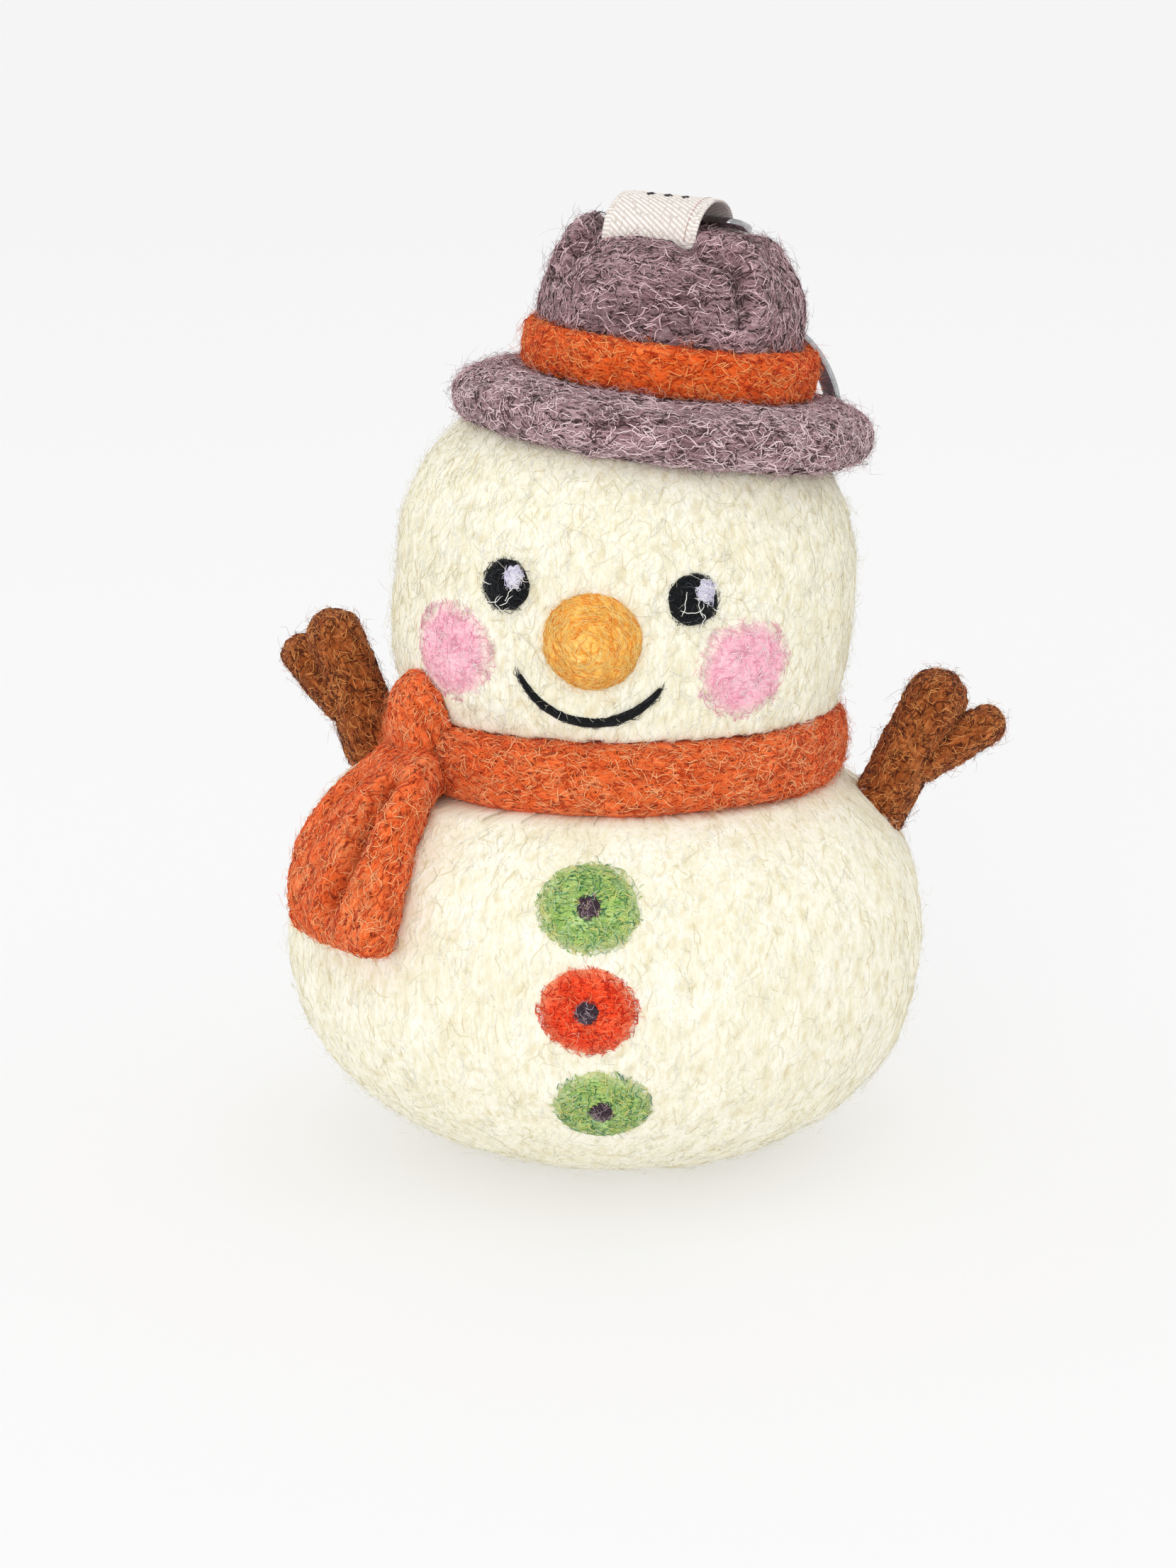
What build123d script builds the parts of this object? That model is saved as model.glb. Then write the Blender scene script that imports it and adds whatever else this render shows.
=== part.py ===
from build123d import *

import os
from math import copysign, cos, radians, sin

# A needle-felted wool snowman charm with a bowler hat, a tape loop and a split key ring.
# Millimetres. +Z is up, the face looks along -Y, and z = 0 is the surface it stands on.

os.makedirs("parts", exist_ok=True)

# ---- driving dimensions ----

body_radius = 34.2          # half the width of the lower ball
body_height = 23.6          # centre of the lower ball above the table
head_radius = 24.3
head_height = 60.0
head_shift = 2.1            # the head sits a little to the right of the body
neck_height = 43.2          # the flat where the two balls are needled together

body_lean = 3.0             # degrees to the right
head_lean = 5.0
brim_lean = 7.0
crown_lean = 5.0

scarf_radius = 24.6
scarf_width = 7.6
scarf_thickness = 5.1
scarf_height = 45.2
scarf_shift = 1.3

brim_radius = 22.1
brim_thickness = 5.2
brim_height = 79.5
brim_shift = 6.2
crown_radius = 14.0
crown_height = 19.0
band_radius = 15.0
band_thickness = 2.0
band_low = 3.4              # edges of the hat band above the middle of the brim
band_high = 8.3

tape_width = 10.0
tape_thickness = 0.4
loop_depth = 13.0           # front leg to back leg of the tape loop
loop_rise = 4.5
loop_turn = 14.0            # degrees: the loop and its D ring face a little to the right
loop_sink = 0.9             # the loop's round part starts this far below the top of the crown
tape_foot = 2.0             # how deep the tape runs on below its round part
chain_turn = 8.0            # degrees: the links and the split ring hang this far to the right

d_wire = 1.0
d_half_width = 5.7          # centre line of the wire
d_depth = 8.8
d_corner = 1.2
link_wire = 0.9
link_length = 7.8
link_width = 4.6
link_play = 0.05            # slack between one link and the next
coil_radius = 11.7          # middle of the split ring's flat wire: 25 mm outside
coil_section = 1.6
coil_thickness = 1.0
coil_gap = 0.05

patch_thickness = 0.5       # eyes, cheeks and mouth needled onto the head
button_thickness = 0.8
dot_thickness = 0.3
nose_ball = 4.9             # radius of the ball the nose is the outer cap of
nose_reach = 3.2            # how far the nose stands out of the face


def axes_of(lean):
    """The sideways and upward directions of a piece that leans to the right."""
    angle = radians(lean)
    return Vector(cos(angle), 0, -sin(angle)), Vector(sin(angle), 0, cos(angle))


def section_plane(centre, lean, spin=0.0):
    """A plane through a leaning axis: x is out and y is up it. Spin turns it from the front view."""
    side, up = axes_of(lean)
    out = side * cos(radians(spin)) + Vector(0, 1, 0) * sin(radians(spin))
    return Plane(origin=centre, x_dir=out, z_dir=out.cross(up))


class Ball:
    """A felted ball: a superellipse turned about its own leaning axis."""

    def __init__(self, centre, lean, radius, top, bottom, top_power, bottom_power, spin=0.0):
        self.centre = Vector(*centre)
        self.lean = lean
        self.radius = radius
        self.spin = spin
        self.halves = {1: (top, top_power), -1: (bottom, bottom_power)}

    def outline(self, grow):
        """Points of the half section from the bottom pole to the top pole."""
        steps = 7
        points = []
        for step in range(-steps, steps + 1):
            angle = radians(90 * step / steps)
            reach, power = self.halves[1 if step > 0 else -1]
            out = (self.radius + grow) * abs(cos(angle)) ** (2 / power)
            rise = (reach + grow) * abs(sin(angle)) ** (2 / power)
            points.append((round(out, 6), copysign(rise, angle)))
        return points

    def blank(self, grow=0.0):
        """The whole ball as a solid, grown all over."""
        points = self.outline(grow)
        plane = section_plane(self.centre, self.lean, self.spin)
        with BuildPart() as ball:
            with BuildSketch(plane):
                with BuildLine():
                    Spline(*points, tangents=((1, 0), (-1, 0)))
                    Line(points[-1], points[0])
                make_face()
            revolve(axis=Axis(self.centre, plane.y_dir))
        return ball.part

    def seat(self, turn, rise):
        """A plane on the surface: turn is degrees right of the front, rise is up the axis."""
        side, up = axes_of(self.lean)
        reach, power = self.halves[1 if rise > 0 else -1]
        part_up = abs(rise) / reach
        part_out = (1 - part_up**power) ** (1 / power)
        outward = side * sin(radians(turn)) + Vector(0, -1, 0) * cos(radians(turn))
        across = side * cos(radians(turn)) + Vector(0, 1, 0) * sin(radians(turn))
        slope_out = part_out ** (power - 1) / self.radius
        slope_up = copysign(part_up ** (power - 1) / reach, rise)
        origin = self.centre + outward * (self.radius * part_out) + up * rise
        return Plane(origin=origin, x_dir=across, z_dir=outward * slope_out + up * slope_up)


def save(piece, name):
    piece.part.label = name
    export_step(piece.part, f"parts/{name}.step")


# ---- the two balls, and the scarf band pressed into the neck between them ----

body = Ball((0.1, 0, body_height), body_lean, body_radius, 23.3, 24.0, 2.5, 2.25)
head = Ball((head_shift, 0, head_height), head_lean, head_radius, 22.0, 22.0, 2.7, 2.7, 100)

body_ball = body.blank()
head_ball = head.blank()
neck_plane = Plane.XY.offset(neck_height)

brim_side, brim_up = axes_of(brim_lean)
brim_centre = Vector(brim_shift, 0, brim_height)
brim_plane = Plane(origin=brim_centre, x_dir=brim_side, z_dir=brim_up)
hat_seat = brim_plane.offset(-brim_thickness / 2)

scarf_centre = Vector(scarf_shift, 0, scarf_height)
with BuildPart() as scarf_band:
    with BuildSketch(section_plane(scarf_centre, 0, 50)):
        with Locations((scarf_radius - scarf_thickness / 2, 0)):
            RectangleRounded(scarf_thickness, scarf_width, 2.4)
    revolve(axis=Axis(scarf_centre, (0, 0, 1)))
save(scarf_band, "scarf_band")

with BuildPart() as body_wool:
    add(body_ball)
    split(bisect_by=Plane.XY, keep=Keep.TOP)
    split(bisect_by=neck_plane, keep=Keep.BOTTOM)
    add(scarf_band.part, mode=Mode.SUBTRACT)
save(body_wool, "body_wool")

with BuildPart() as head_wool:
    add(head_ball)
    split(bisect_by=neck_plane, keep=Keep.TOP)
    split(bisect_by=hat_seat, keep=Keep.BOTTOM)
    add(scarf_band.part, mode=Mode.SUBTRACT)
save(head_wool, "head_wool")

# ---- scarf knot, and the tail over the shoulder ----

knot = Ball((-16.7, -14.2, 48.5), -6, 4.1, 5.9, 5.9, 2.3, 2.3, 150)
with BuildPart() as scarf_knot:
    add(knot.blank())
    add(head_ball, mode=Mode.SUBTRACT)
    add(body_ball, mode=Mode.SUBTRACT)
    add(scarf_band.part, mode=Mode.SUBTRACT)
    with Locations(scarf_centre):
        Cylinder(scarf_radius - scarf_thickness / 2, scarf_width, mode=Mode.SUBTRACT)
save(scarf_knot, "scarf_knot")

# turn, rise, width and thickness of the tail from the knot down to its end
tail_sections = [
    (-50, 19.0, 10.0, 4.4),
    (-46.5, 16.2, 12.0, 4.8),
    (-45, 12.0, 15.4, 4.8),
    (-43.6, 7.5, 16.0, 4.5),
    (-43.2, 4.6, 14.4, 4.0),
    (-43.2, 3.5, 13.0, 3.4),
]
with BuildPart() as scarf_tail:
    for turn, rise, width, thickness in tail_sections:
        seat = body.seat(turn, rise)
        middle = seat.origin + seat.z_dir * (thickness / 2 - 0.4)
        with BuildSketch(Plane(origin=middle, x_dir=seat.x_dir, z_dir=-seat.y_dir)):
            RectangleRounded(width, thickness, thickness * 0.42)
    loft()
    add(body_ball, mode=Mode.SUBTRACT)
    add(scarf_band.part, mode=Mode.SUBTRACT)
    add(knot.blank(), mode=Mode.SUBTRACT)
save(scarf_tail, "scarf_tail")

# ---- hat: brim, crown and band ----

rim = brim_thickness / 2
with BuildPart() as hat_brim:
    with BuildSketch(section_plane(brim_centre, brim_lean)):
        with BuildLine():
            Line((0, rim), (0, -rim))
            Line((0, -rim), (brim_radius - 2.5, -rim))
            ThreePointArc((brim_radius - 2.5, -rim), (brim_radius, -0.1), (brim_radius - 2.2, rim - 0.2))
            ThreePointArc((brim_radius - 2.2, rim - 0.2), (17.2, rim + 0.7), (crown_radius, rim))
            Line((crown_radius, rim), (0, rim))
        make_face()
    revolve(axis=Axis(brim_centre, brim_up))
save(hat_brim, "hat_brim")

crown_side, crown_up = axes_of(crown_lean)
crown_top = Plane(
    origin=brim_centre + crown_up * crown_height, x_dir=crown_side, z_dir=crown_up
)
loop_plane = crown_top.offset(-loop_sink)
loop_plane = loop_plane.shift_origin(loop_plane.from_local_coords((-1.0, -0.6, 0)))
loop_plane = loop_plane.rotated((0, 0, -loop_turn))
loop_side = Plane(origin=loop_plane.origin, x_dir=loop_plane.y_dir, z_dir=loop_plane.x_dir)

with BuildPart() as ribbon_loop:
    with BuildSketch(loop_side):
        outer = (loop_depth + tape_thickness) / 2
        inner = outer - tape_thickness
        Ellipse(outer, loop_rise)
        Ellipse(inner, loop_rise - tape_thickness, mode=Mode.SUBTRACT)
        with Locations((0, -loop_rise)):
            Rectangle(3 * outer, 2 * loop_rise, mode=Mode.SUBTRACT)
        with Locations((-loop_depth / 2, -tape_foot / 2), (loop_depth / 2, -tape_foot / 2)):
            Rectangle(tape_thickness, tape_foot)
    extrude(amount=tape_width / 2, both=True)
save(ribbon_loop, "ribbon_loop")

with BuildPart() as hat_band:
    with BuildSketch(section_plane(brim_centre, brim_lean, 130)):
        with Locations((band_radius - band_thickness / 2, (band_low + band_high) / 2)):
            RectangleRounded(band_thickness, band_high - band_low, 0.8)
    revolve(axis=Axis(brim_centre, brim_up))
save(hat_band, "hat_band")

with BuildPart() as hat_crown:
    with BuildSketch(section_plane(brim_centre, crown_lean, 70)):
        with BuildLine():
            Polyline((7, crown_height), (0, crown_height), (0, 0), (crown_radius, 0))
            Line((crown_radius, 0), (crown_radius - 0.2, 9))
            Spline(
                (crown_radius - 0.2, 9),
                (crown_radius - 0.8, 13.8),
                (crown_radius - 2.9, 17.2),
                (7, crown_height),
                tangents=((0, 1), (-1, 0)),
            )
        make_face()
    revolve(axis=Axis(brim_centre, crown_up))
    split(bisect_by=brim_plane.offset(rim), keep=Keep.TOP)
    add(hat_brim.part, mode=Mode.SUBTRACT)
    add(hat_band.part, mode=Mode.SUBTRACT)
    add(ribbon_loop.part, mode=Mode.SUBTRACT)
save(hat_crown, "hat_crown")

# ---- face and buttons: thin felt patches between the ball and a slightly larger ball ----


def felt_patch(name, ball, place, size, under, over):
    """An oval patch: place is turn and rise, size is half width and half height."""
    seat = ball.seat(*place)
    with BuildPart() as patch:
        with BuildSketch(seat.offset(-3)):
            Ellipse(*size)
        extrude(amount=8)
        add(ball.blank(over), mode=Mode.INTERSECT)
        add(ball.blank(under), mode=Mode.SUBTRACT)
    save(patch, name)


eye_top = 0.9
eyes = {"left_eye": (-24.2, 3.9), "right_eye": (21.4, 4.4)}
for name, (turn, rise) in eyes.items():
    felt_patch(name, head, (turn, rise), (2.5, 2.5), 0, eye_top)
    glint = (turn + 2.6, rise + 1.0)
    felt_patch(f"{name}_glint", head, glint, (0.8, 0.9), eye_top, eye_top + dot_thickness)

cheeks = {"left_cheek": (-39.5, -4.0), "right_cheek": (36.8, -2.6)}
for name, place in cheeks.items():
    felt_patch(name, head, place, (5.1, 4.5), 0, patch_thickness)

buttons = {
    "button_top": (2.3, 10.9, 5.0, 4.6),
    "button_middle": (3.2, 1.0, 4.8, 4.4),
    "button_bottom": (6.5, -9.4, 4.8, 4.2),
}
for name, (turn, rise, half_width, half_height) in buttons.items():
    felt_patch(name, body, (turn, rise), (half_width, half_height), 0, button_thickness)
    dot_top = button_thickness + dot_thickness
    felt_patch(f"{name}_dot", body, (turn, rise), (1.2, 1.2), button_thickness, dot_top)

smile = ThreePointArc((-6.0, 55.9), (0.9, 51.3), (8.1, 54.8))
with BuildPart() as mouth:
    with BuildSketch(Plane(origin=(0, -15, 0), x_dir=(1, 0, 0), z_dir=(0, -1, 0))):
        SlotArc(smile, 0.9)
    extrude(amount=20)
    add(head.blank(patch_thickness), mode=Mode.INTERSECT)
    add(head_ball, mode=Mode.SUBTRACT)
save(mouth, "mouth")

with BuildPart() as nose:
    with Locations(head.seat(-1.6, -0.5).offset(nose_reach - nose_ball)):
        Sphere(nose_ball)
    add(head_ball, mode=Mode.SUBTRACT)
save(nose, "nose")

# ---- arms: a forked felt stick each side ----


def felt_stick(start, end, start_radius, end_radius):
    """A round-ended tapering stick."""
    along = Vector(*end) - Vector(*start)
    with BuildPart() as stick:
        with BuildSketch(Plane(origin=start, z_dir=along)):
            Circle(start_radius)
        with BuildSketch(Plane(origin=end, z_dir=along)):
            Circle(end_radius)
        loft()
        with Locations(start):
            Sphere(start_radius)
        with Locations(end):
            Sphere(end_radius)
    return stick.part


arm_depth = 2.0
arms = {
    "left_arm": ((-23.5, arm_depth, 38.5), (-29.5, arm_depth, 54.7), 3.3, 2.8),
    "right_arm": ((27.8, arm_depth, 34.0), (35.4, arm_depth, 49.2), 2.8, 2.9),
}
twigs = {
    "left_arm": ((-28.3, arm_depth, 47.6), (-33.0, arm_depth, 52.6), 2.3, 1.9),
    "right_arm": ((34.0, arm_depth, 42.6), (40.6, arm_depth, 46.5), 2.2, 1.9),
}
for name, stick in arms.items():
    with BuildPart() as arm:
        add(felt_stick(*stick))
        add(body_ball, mode=Mode.SUBTRACT)
        add(scarf_band.part, mode=Mode.SUBTRACT)
    save(arm, name)
    with BuildPart() as twig:
        add(felt_stick(*twigs[name]))
        add(arm.part, mode=Mode.SUBTRACT)
    save(twig, f"{name}_twig")

# ---- key ring hardware: a D ring in the tape loop, three links and a split ring ----

bar_place = (4.7, 1.85)     # back from the middle of the loop, and up from its foot
d_slope = 10.0              # the D ring lies back over the crown, falling by this many degrees
bar_centre = loop_side.from_local_coords((*bar_place, 0))
d_along = loop_plane.y_dir * cos(radians(d_slope)) - loop_plane.z_dir * sin(radians(d_slope))
d_plane = Plane(origin=bar_centre, x_dir=loop_plane.x_dir, z_dir=loop_plane.x_dir.cross(d_along))

leg = d_depth - d_half_width
with BuildPart() as d_ring:
    with BuildLine(d_plane) as d_path:
        Line((0, 0), (d_half_width - d_corner, 0))
        RadiusArc((d_half_width - d_corner, 0), (d_half_width, d_corner), -d_corner)
        Line((d_half_width, d_corner), (d_half_width, leg))
        ThreePointArc((d_half_width, leg), (0, d_depth), (-d_half_width, leg))
        Line((-d_half_width, leg), (-d_half_width, d_corner))
        RadiusArc((-d_half_width, d_corner), (-d_half_width + d_corner, 0), -d_corner)
        Line((-d_half_width + d_corner, 0), (0, 0))
    with BuildSketch(Plane(origin=bar_centre, z_dir=d_plane.x_dir)):
        Circle(d_wire / 2)
    sweep(path=d_path.line)
save(d_ring, "d_ring")

turn = radians(chain_turn)
hang_out = Vector(sin(turn), cos(turn), 0)
hang_axis = Vector(cos(turn), -sin(turn), 0)


def chain_link(name, centre, along, across):
    """An oval link of round wire, centred, lying along one direction and across another."""
    half_wide = (link_width - link_wire) / 2
    straight = (link_length - link_width) / 2
    with BuildPart() as link:
        with BuildLine(Plane(origin=centre, x_dir=along, z_dir=along.cross(across))) as path:
            Line((0, -half_wide), (straight, -half_wide))
            ThreePointArc((straight, -half_wide), (straight + half_wide, 0), (straight, half_wide))
            Line((straight, half_wide), (-straight, half_wide))
            ThreePointArc((-straight, half_wide), (-straight - half_wide, 0), (-straight, -half_wide))
            Line((-straight, -half_wide), (0, -half_wide))
        with BuildSketch(Plane(origin=path.line @ 0, z_dir=path.line % 0)):
            Circle(link_wire / 2)
        sweep(path=path.line)
    save(link, name)


def hang_direction(slope):
    """Away from the hat and downwards by this many degrees."""
    return hang_out * cos(radians(slope)) - Vector(0, 0, sin(radians(slope)))


link_slopes = (26.0, 40.0, 50.0)
end_inside = link_length / 2 - link_wire            # link's centre to the inside of its end
end_middle = link_length / 2 - link_wire / 2        # link's centre to the middle of its end wire
first_along, second_along, third_along = [hang_direction(slope) for slope in link_slopes]

first_pivot = bar_centre + d_along * d_depth
first_centre = first_pivot + first_along * (end_inside - d_wire / 2 - link_play)
second_pivot = first_centre + first_along * (end_inside - link_wire / 2 - link_play)
second_centre = second_pivot + second_along * end_middle
third_pivot = second_centre + second_along * end_middle
third_centre = third_pivot + third_along * (end_inside - link_wire / 2 - link_play)
ring_pivot = third_centre + third_along * (end_inside - (link_width / 2 - link_wire))

chain_link("chain_link_1", first_centre, first_along, first_along.cross(hang_axis))
chain_link("chain_link_2", second_centre, second_along, hang_axis)
chain_link("chain_link_3", third_centre, third_along, third_along.cross(hang_axis))

ring_centre = ring_pivot - Vector(0, 0, coil_radius)
coil_pitch = coil_thickness + coil_gap
step_over = 24              # degrees over which the two coils are one piece
cut_gap = 2                 # degrees of the cut at each end of the wire
ring_axis = Axis(ring_centre, hang_out)
ring_start = Plane(origin=ring_centre, x_dir=hang_axis, z_dir=hang_axis.cross(hang_out))

with BuildPart() as split_ring:
    for side, start in ((-1, 0), (1, step_over)):
        with BuildSketch(ring_start.rotated((0, start, 0))):
            with Locations((coil_radius, side * coil_pitch / 2)):
                RectangleRounded(coil_section, coil_thickness, 0.25)
        revolve(axis=ring_axis, revolution_arc=360 - cut_gap)
    with BuildSketch(ring_start):
        with Locations((coil_radius, 0)):
            Rectangle(coil_section - 0.6, 0.5)
    revolve(axis=ring_axis, revolution_arc=step_over - cut_gap)
save(split_ring, "split_ring")

# ---- hinge points and the ring's mount, in metres, as the record states them ----

hinges = {
    "d_ring": (bar_centre, loop_plane.x_dir),
    "chain_link_1": (first_pivot, hang_axis),
    "chain_link_2": (second_pivot, hang_axis),
    "chain_link_3": (third_pivot, hang_axis),
    "split_ring": (ring_pivot, hang_axis),
    "ring mount": (ring_centre, hang_out),
    "loop": (loop_plane.origin, loop_plane.z_dir),
}
for name, (place, direction) in hinges.items():
    print(name, [round(value / 1000, 6) for value in place], [round(value, 6) for value in direction])
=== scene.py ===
"""The felted snowman charm's visible wool, tape and metal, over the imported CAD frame.

Shapes are worked out in millimetres and stored in metres. The face looks along -Y.
"""
import collections
import itertools
import math

import bpy
import numpy as np
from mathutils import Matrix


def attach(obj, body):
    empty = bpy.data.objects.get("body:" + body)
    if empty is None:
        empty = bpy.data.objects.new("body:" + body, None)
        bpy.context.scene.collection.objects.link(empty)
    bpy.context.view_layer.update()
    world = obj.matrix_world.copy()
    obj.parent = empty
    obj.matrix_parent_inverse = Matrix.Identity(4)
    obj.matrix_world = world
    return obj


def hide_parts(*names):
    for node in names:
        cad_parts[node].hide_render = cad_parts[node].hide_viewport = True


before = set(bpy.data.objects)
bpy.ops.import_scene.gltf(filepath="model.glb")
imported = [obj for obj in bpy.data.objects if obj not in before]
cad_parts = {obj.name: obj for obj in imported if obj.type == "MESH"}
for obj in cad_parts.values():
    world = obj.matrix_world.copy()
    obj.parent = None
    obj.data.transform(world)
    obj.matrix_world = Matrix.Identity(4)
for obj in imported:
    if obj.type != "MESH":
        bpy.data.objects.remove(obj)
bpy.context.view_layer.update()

MM = 0.001
UP = np.array((0.0, 0.0, 1.0))
BACK = np.array((0.0, 1.0, 0.0))

# ---- camera: a phone held in front of the figure, a little to its right and looking down ----

camera_data = bpy.data.cameras.new("camera")
camera_data.sensor_width = 36.0
camera_data.lens = 72.2
camera = bpy.data.objects.new("camera", camera_data)
camera.location = (0.03449, -0.32819, 0.116)
camera.rotation_euler = (math.radians(90 - 13.05), 0.0, math.radians(6.29))
bpy.context.scene.collection.objects.link(camera)
bpy.context.scene.camera = camera
bpy.context.scene.view_settings.view_transform = "Standard"

# ---- numbers: directions, noise and smoothing ----


def unit(vectors):
    return vectors / np.maximum(np.linalg.norm(vectors, axis=-1, keepdims=True), 1e-12)


def level(way, normals, nudge=0.0):
    """Directions turned to lie along a surface."""
    return unit(way - np.einsum("ij,ij->i", way, normals)[:, None] * normals + nudge)


def smoothstep(low, high, values):
    t = np.clip((values - low) / (high - low), 0, 1)
    return t * t * (3 - 2 * t)


lattice_directions = unit(np.random.default_rng(7).normal(size=(512, 3)))


def noise(points, seed=0):
    """Smooth gradient noise, from about -1 to 1, with one bump to each unit of distance."""
    cell = np.floor(points).astype(np.int64)
    inside = points - cell
    ease = inside**3 * (inside * (inside * 6 - 15) + 10)
    total = np.zeros(len(points))
    for corner in itertools.product((0, 1), repeat=3):
        x, y, z = (cell + corner).T
        key = (x * 73856093) ^ (y * 19349663) ^ (z * 83492791) ^ (seed * 2654435)
        key = (key ^ (key >> 13)) * 1274126177
        direction = lattice_directions[(key ^ (key >> 16)) & 511]
        weight = np.prod(np.where(corner, ease, 1 - ease), axis=1)
        total += weight * np.einsum("ij,ij->i", direction, inside - corner)
    return total * 1.6


def spread(index, values, size):
    """Adds rows of values up by index."""
    return np.stack([np.bincount(index, values[:, k], size) for k in range(values.shape[1])], 1)


def surface_normals(points, quads):
    """The outward direction at each point of a mesh of quads."""
    a, b, c, d = (points[quads[:, k]] for k in range(4))
    across = np.cross(c - a, d - b)
    return unit(sum(spread(quads[:, k], across, len(points)) for k in range(4)))


def relax(points, quads, rounds):
    """Moves each point towards the middle of its neighbours, which rounds off steps and edges."""
    edges = np.concatenate([quads[:, [k, (k + 1) % 4]] for k in range(4)])
    count = np.bincount(edges[:, 0], minlength=len(points))[:, None]
    for _ in range(rounds):
        middle = spread(edges[:, 0], points[edges[:, 1]], len(points)) / np.maximum(count, 1)
        points = points + 0.5 * (middle - points)
    return points


def along_path(points, path):
    """Each point's distance from a line of straight runs, and how far along it is, from 0 to 1."""
    path = np.array(path, float)
    nearest = np.full(len(points), 1e9)
    place = np.zeros(len(points))
    runs = len(path) - 1
    for k in range(runs):
        start, run = path[k], path[k + 1] - path[k]
        part = np.clip((points - start) @ run / (run @ run), 0, 1)
        distance = np.linalg.norm(points - start - part[:, None] * run, axis=1)
        closer = distance < nearest
        nearest = np.where(closer, distance, nearest)
        place = np.where(closer, (k + part) / runs, place)
    return nearest, place


# ---- the CAD's own shapes, which the wool follows ----


class Ball:
    """A felted ball: a superellipse turned about its own leaning axis."""

    def __init__(self, centre, lean, radius, top, bottom, top_power, bottom_power):
        angle = math.radians(lean)
        self.centre = np.array(centre, float)
        self.side = np.array((math.cos(angle), 0.0, -math.sin(angle)))
        self.up = np.array((math.sin(angle), 0.0, math.cos(angle)))
        self.radius = radius
        self.top = (top, top_power)
        self.bottom = (bottom, bottom_power)

    def parts(self, points):
        """Sideways, backward and upward offsets from the centre, with the reach and power there."""
        offset = points - self.centre
        rise = offset @ self.up
        high = rise > 0
        reach = np.where(high, self.top[0], self.bottom[0])
        power = np.where(high, self.top[1], self.bottom[1])
        return offset @ self.side, offset @ BACK, rise, reach, power

    def grown(self, points):
        """How far out each point is, as a share of the distance to the surface."""
        side, back, rise, reach, power = self.parts(points)
        out = np.hypot(side, back) / self.radius
        return (out**power + (np.abs(rise) / reach) ** power) ** (1 / power)

    def on_surface(self, points):
        return self.centre + (points - self.centre) / self.grown(points)[:, None]

    def normals(self, points):
        side, back, rise, reach, power = self.parts(points)
        out = np.maximum(np.hypot(side, back), 1e-9)
        slope = (out / self.radius) ** (power - 1) / self.radius
        climb = (np.abs(rise) / reach) ** (power - 1) / reach * np.sign(rise)
        away = (side[:, None] * self.side + back[:, None] * BACK) / out[:, None]
        return unit(slope[:, None] * away + climb[:, None] * self.up)

    def seat(self, turn, rise):
        """A place on the surface: turn is degrees right of the front, rise is up the axis."""
        turn = math.radians(turn)
        outward = self.side * math.sin(turn) - BACK * math.cos(turn)
        across = self.side * math.cos(turn) + BACK * math.sin(turn)
        reach, power = self.top if rise > 0 else self.bottom
        out = self.radius * (1 - (abs(rise) / reach) ** power) ** (1 / power)
        origin = self.centre + outward * out + self.up * rise
        normal = self.normals(origin[None])[0]
        return origin, across, np.cross(normal, across), normal


body_ball = Ball((0.1, 0, 23.6), 3, 34.2, 23.3, 24.0, 2.5, 2.25)
head_ball = Ball((2.1, 0, 60.0), 5, 24.3, 22.0, 22.0, 2.7, 2.7)
neck_height = 43.2

scarf_centre = np.array((1.3, 0.0, 45.2))
scarf_middle_radius, scarf_half_thick, scarf_half_high, scarf_corner = 22.05, 2.55, 3.8, 2.4

brim_centre = np.array((6.2, 0.0, 79.5))
brim_lean, crown_lean = math.radians(7), math.radians(5)
brim_up = np.array((math.sin(brim_lean), 0.0, math.cos(brim_lean)))
crown_up = np.array((math.sin(crown_lean), 0.0, math.cos(crown_lean)))
brim_half_thick = 2.6
crown_height = 19.0


def press_for_scarf(points):
    """Moves wool that the scarf band takes the place of inwards, to the band's inner side."""
    offset = points - scarf_centre
    out = np.hypot(offset[:, 0], offset[:, 1])
    corner_rise = np.maximum(np.abs(offset[:, 2]) - (scarf_half_high - scarf_corner), 0)
    rounding = scarf_corner - np.sqrt(np.maximum(scarf_corner**2 - corner_rise**2, 0))
    inner = scarf_middle_radius - scarf_half_thick + rounding
    level = np.abs(offset[:, 2]) < scarf_half_high
    out_now = np.where(level & (out > inner), inner, out)
    offset[:, :2] *= (out_now / np.maximum(out, 1e-9))[:, None]
    return scarf_centre + offset


def flatten(points, origin, normal):
    """Moves points beyond a plane back onto it."""
    beyond = np.maximum((points - origin) @ normal, 0)
    return points - beyond[:, None] * normal


# ---- meshes ----


def make_mesh(name, points, faces, attributes=None, shade=None):
    """An object from points in millimetres and arrays of corners, one array for each face size."""
    mesh = bpy.data.meshes.new(name)
    corners = np.concatenate([f.ravel() for f in faces]).astype(np.int32)
    sizes = np.concatenate([np.full(len(f), f.shape[1]) for f in faces])
    starts = np.concatenate([[0], np.cumsum(sizes)[:-1]]).astype(np.int32)
    mesh.vertices.add(len(points))
    mesh.vertices.foreach_set("co", (points * MM).astype(np.float32).ravel())
    mesh.loops.add(len(corners))
    mesh.loops.foreach_set("vertex_index", corners)
    mesh.polygons.add(len(sizes))
    mesh.polygons.foreach_set("loop_start", starts)
    mesh.polygons.foreach_set("use_smooth", np.ones(len(sizes), bool))
    if shade is not None:
        mesh.polygons.foreach_set("material_index", shade.astype(np.int32))
    mesh.update(calc_edges=True)
    for key, values in (attributes or {}).items():
        kind = "FLOAT_VECTOR" if values.ndim == 2 else "FLOAT"
        store = mesh.attributes.new(key, kind, "POINT")
        field = "vector" if values.ndim == 2 else "value"
        store.data.foreach_set(field, values.astype(np.float32).ravel())
    piece = bpy.data.objects.new(name, mesh)
    bpy.context.scene.collection.objects.link(piece)
    return piece


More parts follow.
